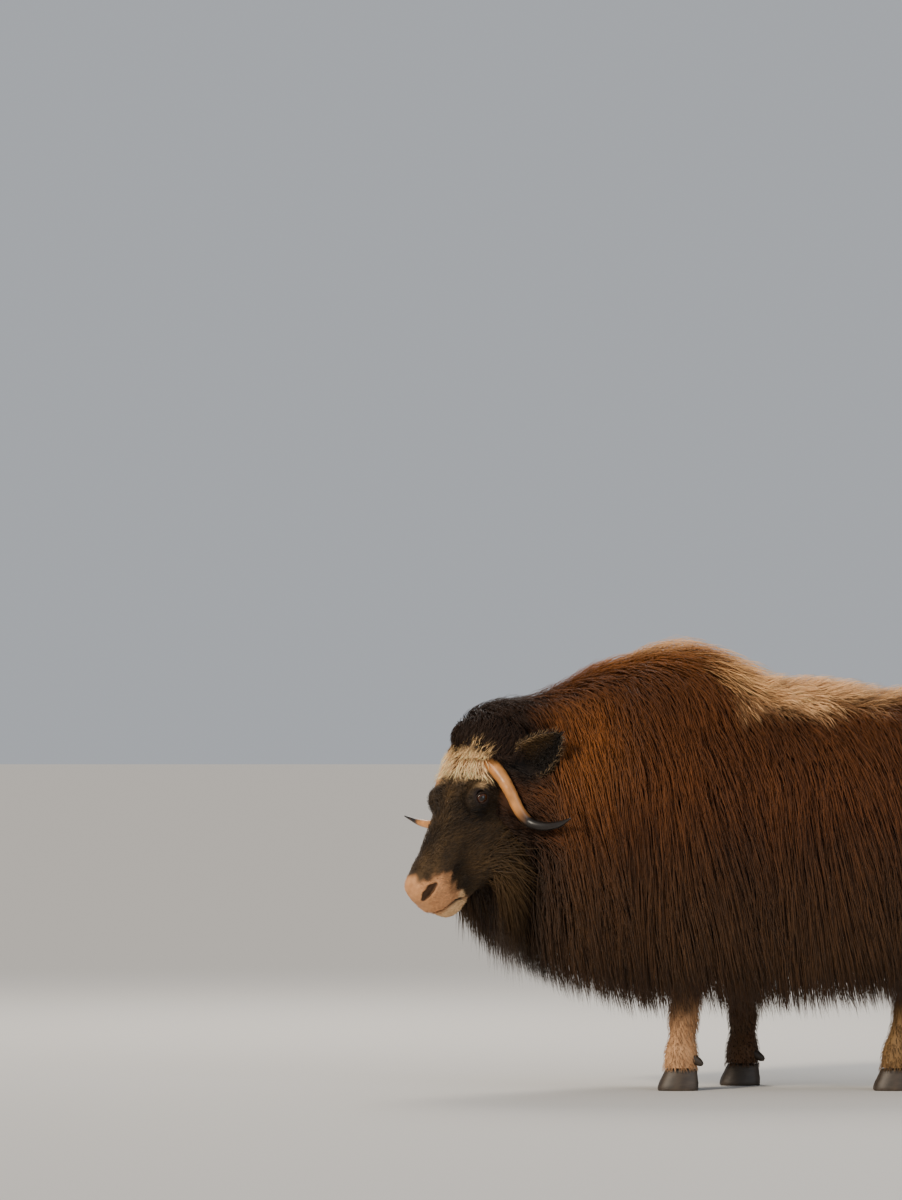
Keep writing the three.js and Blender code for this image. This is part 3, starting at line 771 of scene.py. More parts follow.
def tube_points(path: Array, radii: Array, sides: int) -> tuple[Array, Array]:
    """Returns a round tube along a path, closed at both ends.

    Args:
        path: the middle line.
        radii: the radius at each of its places.
        sides: how many points go round.

    Returns:
        The points and the quads, whose end rings shrink to a point.
    """
    along = unit(np.gradient(path, axis=0))
    across = np.zeros_like(along)
    guide = np.array([0.0, 0.0, 1.0])
    for i, way in enumerate(along):
        guide = guide - way * (guide @ way)
        guide = guide / max(np.linalg.norm(guide), 1e-9)
        across[i] = guide
    upward = np.cross(along, across)
    angle = np.linspace(0, 2 * math.pi, sides, endpoint=False)
    around = across[:, None] * np.cos(angle)[None, :, None] + upward[:, None] * np.sin(angle)[None, :, None]
    rings = path[:, None] + around * radii[:, None, None]
    closed = np.concatenate([path[:1, None].repeat(sides, 1), rings, path[-1:, None].repeat(sides, 1)])
    return closed.reshape(-1, 3), loft_faces(len(closed), sides)


@dataclass
class Skin:
    """The one skin of the whole animal: a net drawn over the field of its flesh, finest round the head."""

    anatomy: Anatomy
    markings: Markings
    fine: float = 0.0036
    coarse: float = 0.013
    growth: float = 0.25  # how fast the net coarsens away from the head
    head_low: Array = field(default_factory=lambda: row(-1000, -325, 455))
    head_high: Array = field(default_factory=lambda: row(-690, 30, 1010))
    body_low: Array = field(default_factory=lambda: row(-1010, -340, 52))
    body_high: Array = field(default_factory=lambda: row(1000, 340, 1290))
    finish: Shader = Shader(
        "skin_under_hair", roughness=0.65, specular=0.2, grain=0.22, grain_scale=260.0, bump=0.5
    )

    def lines(self, axis: int) -> Array:
        """Spaces the grid's lines across one axis, close together over the head.

        Args:
            axis: 0, 1 or 2 for X, Y or Z.

        Returns:
            Their places, in order.
        """
        low, high = self.head_low[axis], self.head_high[axis]
        places = [self.body_low[axis]]
        while places[-1] < self.body_high[axis]:
            at = places[-1]
            gap = 0.0 if low <= at <= high else min(abs(at - low), abs(at - high))
            places.append(at + min(self.coarse, self.fine + gap * self.growth))
        return np.array(places)

    def heights(self, lines: Sequence[Array]) -> Array:
        """Returns the field of the flesh at every crossing of the grid's lines.

        Args:
            lines: the lines across X, Y and Z.

        Returns:
            A value for each crossing, below zero inside the flesh.
        """
        xs, ys, zs = lines
        values = np.empty((len(xs), len(ys), len(zs)), dtype=np.float32)
        grid_y, grid_z = np.meshgrid(ys, zs, indexing="ij")
        for i, x in enumerate(xs):
            slab = np.stack([np.full(grid_y.size, x), grid_y.ravel(), grid_z.ravel()], axis=1)
            values[i] = self.anatomy.body(slab).reshape(grid_y.shape)
        return values

    @staticmethod
    def crossings(values: Array, lines: Sequence[Array], axis: int) -> tuple[Array, Array]:
        """Finds where the surface crosses the grid's edges along one axis.

        Args:
            values: the field at every crossing of the lines.
            lines: the lines across X, Y and Z.
            axis: the axis that the edges run along.

        Returns:
            The place of each crossing, and the numbers of the four cells round its edge.
        """
        shape = np.array(values.shape)
        weights = np.array([shape[1] * shape[2], shape[2], 1])
        first = np.take(values, range(shape[axis] - 1), axis=axis)
        second = np.take(values, range(1, shape[axis]), axis=axis)
        at = np.argwhere((first < 0) != (second < 0))
        at = at[np.all((at > 0) & (at < shape - 1), axis=1)]
        start = values[tuple(at.T)].astype(float)
        beyond = at.copy()
        beyond[:, axis] += 1
        end = values[tuple(beyond.T)].astype(float)
        place = np.stack([lines[k][at[:, k]] for k in range(3)], axis=1)
        along = lines[axis]
        place[:, axis] += (start / (start - end)) * (along[at[:, axis] + 1] - along[at[:, axis]])
        ring = []
        for du, dv in ((0, 0), (-1, 0), (-1, -1), (0, -1)):
            cell = at.copy()
            cell[:, (axis + 1) % 3] += du
            cell[:, (axis + 2) % 3] += dv
            ring.append(cell @ weights)
        cells = np.stack(ring, axis=1)
        flip = start > 0
        cells[flip] = cells[flip][:, ::-1]
        return place, cells

    def net(self) -> tuple[Array, Array]:
        """Draws the surface as quads between the cells that it passes through.

        Returns:
            Its points, and its faces as rows of four point numbers.
        """
        lines = [self.lines(axis) for axis in range(3)]
        values = self.heights(lines)
        found = [self.crossings(values, lines, axis) for axis in range(3)]
        places = np.concatenate([place.repeat(4, axis=0) for place, _ in found])
        quads = np.concatenate([cells for _, cells in found])
        names, index = np.unique(quads.ravel(), return_inverse=True)
        counts = np.bincount(index)
        points = np.stack([np.bincount(index, places[:, k]) / counts for k in range(3)], axis=1)
        faces = np.searchsorted(names, quads)
        for _ in range(2):
            distance = np.clip(self.anatomy.body(points), -0.004, 0.004)
            points -= slope(self.anatomy.body, points, 0.001) * distance[:, None]
        return points, faces

    def hue(self, points: Array) -> Array:
        """Colours the skin.

        Args:
            points: the design places.

        Returns:
            A linear colour for each.
        """
        local = self.anatomy.pose.local(points)
        colour = self.markings.trunk(points) * 0.75
        limb = self.anatomy.is_limb(points)
        head = self.anatomy.is_head(points)
        colour[limb] = self.markings.limb(points[limb], self.anatomy.nearest_leg(points[limb])) * 0.9
        colour[head] = self.markings.head(local[head]) * 0.9
        lips = self.anatomy.mouth(local) / self.anatomy.lip_depth
        inside = ramp(self.anatomy.nostrils(local), 0.003, -0.001)
        dark = np.clip(np.maximum(lips * 1.1, inside), 0, 1) * head
        colour = mix(colour, self.markings.nose * 0.6, dark[:, None])
        for side in Side:
            eye = np.linalg.norm(local - self.anatomy.eye * side.mirror, axis=-1)
            colour = mix(colour, self.markings.nose, ramp(eye, 0.031, 0.025)[:, None])
        return colour

    def build(self, bench: Bench) -> tuple[Array, Array]:
        """Makes the skin in place of every node of flesh.

        Args:
            bench: where pieces are made.

        Returns:
            Its points and quads, in the design frame, for rooting the coat.
        """
        points, faces = self.net()
        nodes = ["head", "neck", "shoulders", "barrel", "hindquarters", "tail"]
        nodes += [f"leg_{leg.name}" for leg in self.anatomy.legs]
        bench.piece("skin", points, faces, self.hue(points), self.finish, nodes)
        return points, faces


@dataclass
class Ear:
    """Two cupped leaves of skin behind the horns: the near one reaches out, the far one lies back."""

    anatomy: Anatomy
    root: Array = field(default_factory=lambda: row(425, -22, 84))
    near_tip: Array = field(default_factory=lambda: row(531, 46, 277))
    far_tip: Array = field(default_factory=lambda: row(590, -10, 160))
    half_widths: Sequence[float] = (0.028, 0.048, 0.060, 0.062, 0.054, 0.038, 0.012)
    wall: float = 0.005
    opens: Triple = (-0.62, 0.45, 0.60)
    finish: Shader = Shader("ear_leather", roughness=0.7, grain=0.25, bump=0.3)

    def reach(self, side: Side) -> Array:
        """Returns the way from an ear's root to its tip, in head places of the left side."""
        return (self.near_tip if side is Side.LEFT else self.far_tip) - self.root

    def shape(self, side: Side) -> tuple[Array, Array, Array, Array]:
        """Makes one ear's leaf as arrays.

        Args:
            side: which ear.

        Returns:
            Its points, its quads, the way that its cup faces, and for each point how far along the
            leaf and round it the point lies, and 1 on the outer face of the wall or else -1.
        """
        along = self.reach(side)
        axis = unit(along)
        opens = np.array(self.opens)
        opens = unit(opens - axis * (opens @ axis))
        across = np.cross(axis, opens)
        steps, sides = 26, 22
        share = np.linspace(0, 1, steps)
        half = np.interp(share, np.linspace(0, 1, len(self.half_widths)), self.half_widths)
        angle = math.pi * (0.06 + 0.88 * np.linspace(0, 1, sides))
        rings, facts = [], []
        for t, width in zip(share, half):
            centre = self.root + along * t
            for grow, order in ((0.0, 1), (-self.wall, -1)):
                a = angle[::order]
                ring = centre + across * ((width + grow) * np.cos(a))[:, None]
                ring = ring + opens * (width * 0.35 - (width * 0.62 + grow) * np.sin(a))[:, None]
                rings.append(ring)
                facts.append(np.stack([np.full(sides, t), a / math.pi, np.full(sides, float(order))], axis=1))
        local = np.concatenate(rings)
        local[:, 2] *= side.value
        faces = loft_faces(steps, sides * 2)
        if side is Side.LEFT:
            faces = faces[:, ::-1]
        outward = opens * side.mirror
        return self.anatomy.pose.place(local), faces, self.anatomy.pose.turn(outward), np.concatenate(facts)

    @staticmethod
    def hue(markings: Markings, facts: Array) -> Array:
        """Returns the ear's colour: black outside; inside, pale along its upper edge and black towards the
        back wall as painted shade.
        """
        pale = ramp(facts[:, 1], 0.35, 0.85) * (facts[:, 2] < 0) * ramp(facts[:, 0], 1.0, 0.8)
        return mix(markings.black, markings.grizzle * 1.1, pale[:, None])

    def build(self, bench: Bench, markings: Markings) -> None:
        """Makes both ears.

        Args:
            bench: where pieces are made.
            markings: the animal's colours.
        """
        for side in Side:
            points, faces, _, facts = self.shape(side)
            hue = self.hue(markings, facts)
            name = f"ear_skin_{side.word}"
            bench.piece(name, points, faces, hue, self.finish, [f"ear_{side.word}"])


@dataclass
class Horn:
    """A slim horn: rooted under the crown, down past the eye, then out and up to a black tip."""

    anatomy: Anatomy
    line: Sequence[Triple] = (
        (412, 62, 30),
        (409, 58, 78),
        (385, 35, 118),
        (356, 2, 146),
        (325, -45, 165),
        (311, -82, 186),
        (309, -98, 232),
        (315, -97, 292),
        (325, -80, 350),
    )
    radii: Sequence[float] = (0.024, 0.0225, 0.0195, 0.0175, 0.0165, 0.0155, 0.0135, 0.0100, 0.0018)
    near_dark: float = 0.50  # how far along each horn its black tip starts
    # The far horn's black starts further out than the near one's: its pale tip is painted sunlight
    far_dark: float = 0.86
    pale: Array = field(default_factory=lambda: srgb(182, 124, 68))
    black: Array = field(default_factory=lambda: srgb(22, 17, 14))
    finish: Shader = Shader(
        "horn_keratin",
        roughness=0.38,
        specular=0.5,
        grain=0.28,
        grain_scale=90.0,
        bump=0.45,
        stretch=(1.0, 1.0, 0.25),
    )

    def path(self, side: Side, steps: int) -> Array:
        """Returns the middle line of a horn as evenly timed design places."""
        marks = [row(back, up, left * side.value) for back, up, left in self.line]
        return self.anatomy.pose.place(smooth_path(marks, steps))

    def build(self, bench: Bench) -> None:
        """Makes both horns.

        Args:
            bench: where pieces are made.
        """
        steps, sides = 90, 28
        for side in Side:
            path = self.path(side, steps)
            share = np.linspace(0, 1, steps)
            radii = np.interp(share, np.linspace(0, 1, len(self.radii)), self.radii)
            rings = 1.0 + 0.022 * np.sin(share * 95 + 3 * np.sin(share * 17)) * ramp(share, 0.75, 0.3)
            points, faces = tube_points(path, radii * rings, sides)
            along = np.concatenate([[0.0], share, [1.0]]).repeat(sides)
            tint = self.pale * (1.0 + 0.16 * drift(points, 0.02, 12))[:, None]
            # The far horn's later black start paints sunlight on its tip
            dark_from = self.near_dark if side is Side.LEFT else self.far_dark
            dark = ramp(along + 0.03 * drift(points, 0.03, 13), dark_from, dark_from + 0.1)
            hue = mix(tint, self.black, dark[:, None])
            name = f"horn_sheath_{side.word}"
            bench.piece(name, points, faces, hue, self.finish, [f"horn_{side.word}"])


@dataclass
class Eye:
    """A dark eye with a wet surface, and the two lids that close in on it."""

    anatomy: Anatomy
    out: Triple = (-0.42, 0.30, 0.86)
    level: Triple = (1.0, -0.40, 0.20)
    half_long: float = math.radians(64)
    half_tall: float = math.radians(43)
    # The lid's rings: how far out from the opening's edge each lies, and its radius in millimetres
    lid_profile: Sequence[tuple[float, float]] = (
        (0.96, 19.2),
        (0.97, 20.8),
        (1.03, 22.2),
        (1.12, 22.6),
        (1.26, 22.0),
        (1.42, 20.6),
        (1.6, 17.5),
    )
    iris: Array = field(default_factory=lambda: srgb(58, 30, 14))
    rim: Array = field(default_factory=lambda: srgb(20, 14, 11))
    ball_finish: Shader = Shader("eye_wet", roughness=0.06, specular=0.5, grain=0.1, grain_scale=500.0)
    lid_finish: Shader = Shader("eyelid_leather", roughness=0.8, specular=0.12, grain=0.2, bump=0.4)

    def axes(self, side: Side) -> Array:
        """Finds the ways straight out of the eye, along its length, and upright across it.

        Args:
            side: which eye.

        Returns:
            Three directions in the design frame, as rows.
        """
        out = self.anatomy.pose.turn(np.array(self.out) * side.mirror)
        along = self.anatomy.pose.turn(np.array(self.level) * side.mirror)
        along = unit(along - out * (along @ out))
        upright = np.cross(along, out)
        if upright @ self.anatomy.pose.axes[1] < 0:
            upright = -upright
        return np.stack([out, along, upright])

    def ball(self, bench: Bench, side: Side, centre: Array, axes: Array) -> None:
        """Makes the eyeball, with its iris, pupil and a slight bulge over them.

        Args:
            bench: where pieces are made.
            side: which eye.
            centre: its middle.
            axes: its directions, as rows.
        """
        rings, sides = 40, 36
        polar = np.linspace(0, math.pi, rings)
        turn = np.linspace(0, 2 * math.pi, sides, endpoint=False)
        bulge = 1.0 + 0.035 * ramp(polar, math.radians(38), 0.0)
        local = np.stack(
            [
                (np.cos(polar) * bulge)[:, None] * np.ones(sides),
                (np.sin(polar) * bulge)[:, None] * np.cos(turn),
                (np.sin(polar) * bulge)[:, None] * np.sin(turn),
            ],
            axis=-1,
        ).reshape(-1, 3)
        points = centre + local @ axes * self.anatomy.eye_radius
        off = np.hypot(local[:, 1] / 1.5, local[:, 2])
        around = np.arccos(np.clip(local[:, 0], -1, 1))
        hue = mix(self.rim * 0.3, self.iris, ramp(off, 0.30, 0.38)[:, None])
        hue = mix(hue, self.rim, ramp(around, math.radians(46), math.radians(54))[:, None])
        faces = loft_faces(rings, sides)[:, ::-1]
        name = f"eyeball_{side.word}"
        bench.piece(name, points, faces, hue, self.ball_finish, [f"eye_{side.word}"])

    def lids(self, bench: Bench, side: Side, centre: Array, axes: Array) -> None:
        """Makes the lids as one soft rim round an almond opening.

        Args:
            bench: where pieces are made.
            side: which eye.
            centre: its middle.
            axes: its directions, as rows.
        """
        turn = np.linspace(0, 2 * math.pi, 64, endpoint=False)
        tall = np.where(np.sin(turn) > 0, self.half_tall * 0.92, self.half_tall)
        reach = 1.0 / np.sqrt((np.cos(turn) / self.half_long) ** 2 + (np.sin(turn) / tall) ** 2)
        rings = []
        for scale, radius in self.lid_profile:
            fold = 0.0008 * np.sin(turn * 3) * (scale > 1.1)
            angle = np.minimum(reach * scale, math.radians(112))
            out, aside = np.cos(angle), np.sin(angle)
            way = np.stack([out, aside * np.cos(turn), aside * np.sin(turn)], axis=1)
            rings.append(centre + (way @ axes) * (radius / 1000.0 + fold)[:, None])
        points = np.concatenate(rings)
        faces = loft_faces(len(self.lid_profile), len(turn))
        outward = np.cross(points[1] - points[0], points[len(turn)] - points[0]) @ axes[0]
        faces = faces if outward > 0 else faces[:, ::-1]
        hue = np.broadcast_to(self.rim * 2.6, points.shape)
        bench.piece(f"eyelids_{side.word}", points, faces, hue, self.lid_finish)

    def build(self, bench: Bench) -> None:
        """Makes both eyes and their lids.

        Args:
            bench: where pieces are made.
        """
        for side in Side:
            centre = self.anatomy.pose.place(self.anatomy.eye * side.mirror)
            axes = self.axes(side)
            self.ball(bench, side, centre, axes)
            self.lids(bench, side, centre, axes)


@dataclass
class Hooves:
    """Cloven hooves with flat soles, and the dewclaws behind them."""

    anatomy: Anatomy
    length: float = 0.118
    width: float = 0.050
    cleft: float = 0.005
    horn: Array = field(default_factory=lambda: srgb(58, 48, 38))
    finish: Shader = Shader(
        "hoof_horn",
        roughness=0.5,
        specular=0.4,
        grain=0.35,
        grain_scale=120.0,
        bump=0.6,
        stretch=(0.4, 0.4, 2.5),
    )

    def claw(self, bench: Bench, leg: Leg, place: str, side: int) -> None:
        """Makes one claw, with a rounded edge at the sole.

        Args:
            bench: where pieces are made.
            leg: the leg that it stands under.
            place: inner or outer.
            side: 1 where it lies towards +Y from the foot's middle, or else -1.
        """
        levels = np.array([0.0, 0.0, 0.004, 0.012, 0.022, 0.034, 0.046, 0.056, 0.0616, 0.0616])
        marks = [0.0, 0.008, 0.041, 0.0616]
        grows = np.interp(levels, marks, [0.97, 1.0, 0.86, 0.74])
        grows[0] = 0.0
        grows[-1] = 0.0
        backs = np.interp(levels, marks, [0.0, 0.0, 0.006, 0.010])
        angle = np.linspace(0, 2 * math.pi, 40, endpoint=False)
        rings = []
        for level, grow, back in zip(levels, grows, backs):
            spread = 0.5 * self.width * 0.8 if grow == 0.0 else 0.0
            ridge = 1.0 + 0.012 * math.sin(level * 900)
            along = -np.cos(angle) * (self.length / 2) * grow * ridge + back
            out = (0.5 + 0.5 * np.sin(angle)) * self.width * grow + spread
            y = leg.foot[1] + side * (self.cleft / 2 + out)
            rings.append(np.stack([leg.foot[0] + along, y, np.full_like(along, level)], axis=1))
        points = np.concatenate(rings)
        faces = loft_faces(len(rings), len(angle))
        faces = faces[:, ::-1] if side > 0 else faces
        hue = self.horn * (1.0 + 0.25 * drift(points, 0.015, 14))[:, None]
        node = f"hoof_{leg.name}_{place}"
        bench.piece(f"claw_{leg.name}_{place}", points, faces, hue, self.finish, [node])

    def dewclaw(self, bench: Bench, leg: Leg, place: str, side: int) -> None:
        """Makes one dewclaw, blunt and tilted down.

        Args:
            bench: where pieces are made.
            leg: the leg that it stands under.
            place: inner or outer.
            side: 1 where it lies towards +Y from the foot's middle, or else -1.
        """
        root = leg.foot + row(30, side * 19, 100)
        tip = leg.foot + row(71, side * 24, 74)
        path = root + (tip - root) * np.linspace(0, 1, 10)[:, None]
        radii = np.interp(np.linspace(0, 1, 10), [0, 0.5, 0.85, 1.0], [0.013, 0.013, 0.010, 0.004])
        points, faces = tube_points(path, radii, 20)
        hue = np.broadcast_to(self.horn * 0.8, points.shape)
        node = f"dewclaw_{leg.name}_{place}"
        bench.piece(f"spur_{leg.name}_{place}", points, faces, hue, self.finish, [node])

    def build(self, bench: Bench) -> None:
        """Makes the sixteen pieces.

        Args:
            bench: where pieces are made.
        """
        for leg in self.anatomy.legs:
            outer = int(np.sign(leg.foot[1]))
            for place, side in (("outer", outer), ("inner", -outer)):
                self.claw(bench, leg, place, side)
                self.dewclaw(bench, leg, place, side)


@dataclass
class Tufts:
    """Many tufts of hair as arrays: each has a path from root to tip, a width, a facing and a colour."""

    paths: Array  # tuft, station, place
    facing: Array  # tuft, station, way out of the skin
    width: Array  # tuft
    root_hue: Array  # tuft, colour
    tip_hue: Array  # tuft, colour
    unwrap: Array  # tuft, place of its root on the skin's unwrap
    flatness: float = 0.4
    patch: float = 0.003  # how wide each tuft lies on the unwrap

    @classmethod
    def joined(cls, first: "Tufts", second: "Tufts") -> "Tufts":
        """Returns two lots of tufts as one."""
        names = ("paths", "facing", "width", "root_hue", "tip_hue", "unwrap")
        return cls(*(np.concatenate([getattr(first, name), getattr(second, name)]) for name in names))

    def take(self, chosen: Array) -> "Tufts":
        """Picks some of the tufts.

        Args:
            chosen: their numbers, or a mask.

        Returns:
            The chosen tufts alone.
        """
        return Tufts(
            self.paths[chosen],
            self.facing[chosen],
            self.width[chosen],
            self.root_hue[chosen],
            self.tip_hue[chosen],
            self.unwrap[chosen],
            self.flatness,
        )

    @property
    def triangles(self) -> int:
        """How many triangles one tuft takes."""
        return 6 * (self.paths.shape[1] - 2) + 4

    def mesh(self) -> tuple[Array, Array, Array, Array]:
        """Makes the mesh of closed three-sided tufts that taper to a tip.

        Returns:
            Its points, triangles and colours, and its unwrap at each triangle's corners.
        """
        count, stations, _ = self.paths.shape
        along = unit(np.gradient(self.paths, axis=1))
        across = unit(np.cross(along, self.facing))
        out = np.cross(across, along)
        share = np.linspace(0.0, 1.0, stations)[:-1]
        girth = (self.width[:, None] * (1.0 - 0.75 * share**1.6) / 2.0)[..., None]
        centre, across, out = self.paths[:, :-1], across[:, :-1], out[:, :-1]
        left = centre - across * girth - out * girth * self.flatness * 0.5
        right = centre + across * girth - out * girth * self.flatness * 0.5
        ridge = centre + out * girth * self.flatness
        rings = np.stack([left, ridge, right], axis=2).reshape(count, -1, 3)
        points = np.concatenate([rings, self.paths[:, -1:]], axis=1)
        size = points.shape[1]
        template = [(0, 2, 1)]
        for ring in range(stations - 2):
            for k in range(3):
                a, b = 3 * ring + k, 3 * ring + (k + 1) % 3
                template += [(a, b, b + 3), (a, b + 3, a + 3)]
        last = 3 * (stations - 2)
        template += [(last + k, last + (k + 1) % 3, size - 1) for k in range(3)]
        template = np.array(template)
        faces = (template[None] + size * np.arange(count)[:, None, None]).reshape(-1, 3)
        levels = np.concatenate([share.repeat(3), [1.0]])
        hue = mix(self.root_hue[:, None], self.tip_hue[:, None], levels[None, :, None] ** 1.3)
        spots = np.stack([np.concatenate([np.tile([0.0, 0.5, 1.0], stations - 1), [0.5]]), levels], axis=1)
        uv = self.unwrap[:, None] + (spots - 0.5)[None] * self.patch
        return points.reshape(-1, 3), faces, hue.reshape(-1, 3), uv.reshape(-1, 2)[faces.ravel()]


@dataclass
class Unwrap:
    """Where each place of the skin lies on its unwrap: the trunk, the head and each leg as opened rolls."""

    anatomy: Anatomy

    @staticmethod
    def rolled(along: Array, angle: Array, low: tuple[float, float], high: tuple[float, float]) -> Array:
        """Lays places on a roll into a box of the unwrap.

        Args:
            along: shares along the roll.
            angle: angles round it.
            low: the box's lower corner.
            high: its upper corner.

        Returns:
            A place on the unwrap for each.
        """
        u = low[0] + np.clip(along, 0, 1) * (high[0] - low[0])
        v = low[1] + (angle / (2 * math.pi) % 1.0) * (high[1] - low[1])
        return np.stack([u, v], axis=1)

    def trunk(self, p: Array) -> Array:
        """Returns the unwrap of places on the trunk."""
        angle = np.arctan2(p[:, 2] - 0.8, p[:, 1]) + math.pi / 2
        return self.rolled((p[:, 0] + 1.0) / 2.0, angle, (0.01, 0.01), (0.99, 0.58))

    def head(self, p: Array) -> Array:
        """Unwraps places on the head and ears.

        Args:
            p: the design places.

        Returns:
            A place on the unwrap for each.
        """
        local = self.anatomy.pose.local(p)
        angle = np.arctan2(local[:, 1] + 0.045, local[:, 2]) + math.pi / 2
        return self.rolled((local[:, 0] + 0.04) / 0.62, angle, (0.01, 0.60), (0.48, 0.99))

    def limb(self, p: Array) -> Array:
        """Unwraps places on the legs, one box for each leg.

        Args:
            p: the design places.

        Returns:
            A place on the unwrap for each.
        """
        which = self.anatomy.nearest_leg(p)
        centre = np.array([leg.foot[:2] for leg in self.anatomy.legs])[which]
        angle = np.arctan2(p[:, 1] - centre[:, 1], p[:, 0] - centre[:, 0])
        uv = self.rolled(p[:, 2] / 0.65, angle, (0.0, 0.60), (0.115, 0.99))
        uv[:, 0] += 0.50 + which * 0.12
        return uv


@dataclass
class Coat:
    """The hair: long fine tufts that hang from the trunk, and short ones on the head, ears and legs."""

    anatomy: Anatomy
    markings: Markings
    seed: int = 5
    long_tufts: int = 38_000
    long_steps: int = 4
    short_trunk: int = 14_000
    face_tufts: int = 17_000
    limb_tufts: int = 7_000
    face_reach: float = 0.345  # how far to the near side a tuft of the face may go
    ear_tufts: int = 2_200  # on each ear
    ear_room: float = 0.050  # how near long hair may come to the middle of an ear
    cup_room: float = 0.026  # how near short hair may
    finish: Shader = Shader(
        "guard_hair", roughness=0.55, specular=0.16, grain=0.18, grain_scale=60.0, sheen=0.05
    )
    skirt_x: Sequence[float] = (-0.80, -0.758, -0.700, -0.584, -0.468, -0.352, -0.222, -0.05, 0.60, 0.95)
    skirt_z: Sequence[float] = (0.470, 0.426, 0.383, 0.310, 0.256, 0.228, 0.214, 0.214, 0.245, 0.290)

    def __post_init__(self) -> None:
        """Prepares the random draw, the hanging field and the unwrap."""
        self.random = np.random.default_rng(self.seed)
        self.hair_field = self.anatomy.hung(0.35)
        self.unwrap = Unwrap(self.anatomy)

    def roots(self, points: Array, faces: Array, weight: Array, count: int) -> Array:
        """Returns root places spread over the skin.

        Args:
            points: the skin's points.
            faces: its quads.
            weight: how densely each quad is covered, for its area.
            count: how many roots to draw.

        Returns:
            The places.
        """
        a, b, c, d = (points[faces[:, k]] for k in range(4))
        area = np.linalg.norm(np.cross(c - a, d - b), axis=1) * weight
        total = np.cumsum(area)
        even = (np.arange(count) + self.random.random(count)) / count * total[-1]
        which = np.minimum(np.searchsorted(total, even), len(faces) - 1)
        u, v = self.random.random((2, count, 1))
        top = a[which] * (1 - u) + b[which] * u
        bottom = d[which] * (1 - u) + c[which] * u
        return top * (1 - v) + bottom * v

    def grow(
        self,
        form: Field,
        roots: Array,
        flow: Array,
        length: Array,
        lift: Array,
        steps: int,
        sink: float,
        rise: Sequence[float],
    ) -> tuple[Array, Array]:
        """Grows hair along a form: it follows its flow over the form, and hangs free under its widest part.

        Args:
            form: the field that the hair lies on.
            roots: where each tuft starts.
            flow: the way that each tends to go.
            length: each one's length.
            lift: how far off the form each one's tip lies.
            steps: how many stretches each has.
            sink: how deep the root starts.
            rise: the share of the lift at each step.

        Returns:
            The paths and the ways out of the form along them.
        """
        out = slope(form, roots)
        path = [roots - out * sink]
        facing = [out]
        point = roots.copy()
        for i in range(1, steps + 1):
            out = slope(form, point)
            on_top = out[:, 2:3] > -0.1
            fall = np.where(on_top, flow - out * dot(flow, out), flow)
            point = point + unit(fall) * (length / steps)[:, None]
            out = slope(form, point)
            short = (lift * rise[i] - form(point))[:, None]
            push = np.where(short > 0, short, np.where(out[:, 2:3] > 0.1, short * 0.8, 0.0))
            point = point + out * push
            path.append(point)
            level = np.where(out[:, 2:3] < 0, out * np.array([1.0, 1.0, 0.0]), out)
            facing.append(unit(level))
        return np.stack(path, axis=1), np.stack(facing, axis=1)

    def gather(self, paths: Array, guides: int, pull: float) -> Array:
        """Draws the tips of neighbouring tufts together, so that the coat falls in locks.

        Args:
            paths: the tufts' paths.
            guides: how many locks there are.
            pull: how far a tip is drawn to the tip of its lock.

        Returns:
            The paths drawn together.
        """
        leaders = self.random.choice(len(paths), guides, replace=False)
        tree = KDTree(guides)
        for i, leader in enumerate(leaders):
            tree.insert(Vector(paths[leader, 0]), i)
        tree.balance()
        own = leaders[[tree.find(Vector(root))[1] for root in paths[:, 0]]]
        share = np.linspace(0, 1, paths.shape[1])[None, :, None] ** 1.4
        strength = pull * self.random.uniform(0.5, 1.15, (len(paths), 1, 1))
        spread = self.random.normal(0, 0.0016, (len(paths), 1, 3)) * share
        return paths + (paths[own] - paths) * np.clip(share * strength, 0, 0.97) + spread

    def by_head(self, p: Array) -> Array:
        """Returns how close each place of the trunk is to the head above its jaw, from 0 to 1."""
        local = self.anatomy.pose.local(p)
        return ramp(self.anatomy.skull(local), 0.13, 0.03) * ramp(local[:, 1], -0.20, -0.10)

    def on_poll(self, p: Array) -> Array:
        """Returns how far each place lies on the mop of hair over the poll, from 0 to 1."""
        away = np.linalg.norm((p - self.anatomy.poll) / row(1250, 1000, 1000), axis=1)
        return ramp(away, 0.125, 0.085) * ramp(p[:, 2], 0.95, 1.0)

    def trunk_flow(self, p: Array) -> Array:
        """Finds the way that hair tends to go at each place of the trunk.

        Args:
            p: the design places.

        Returns:
            A direction for each, of any length.
        """
        ridge = ramp(np.abs(p[:, 1]), 0.10, 0.02) * ramp(p[:, 2], 0.95, 1.05)
        saddle = self.markings.on_saddle(p)
        back = 0.16 + 0.16 * ramp(p[:, 2], 0.8, 1.1) + 0.9 * ridge + 0.7 * saddle
        back = back * ramp(p[:, 0], 0.92, 0.66) + 0.10 * drift(p, 0.16, 20)
        side = 0.10 * drift(p, 0.13, 21)
        down = -1.0 + 0.6 * ridge + 0.3 * saddle
        flow = np.stack([back, side, down], axis=1)
        out = slope(self.anatomy.trunk, p)
        away = slope(self.anatomy.head_bare, p)
        flow = mix(flow, unit(away) + np.array([0.3, 0.0, -0.5]), self.by_head(p)[:, None])
        facing = np.array([-math.cos(self.anatomy.pose.yaw), -math.sin(self.anatomy.pose.yaw), -0.9])
        return mix(flow, facing, (self.on_poll(p) * ramp(out @ facing, -0.25, 0.15))[:, None])

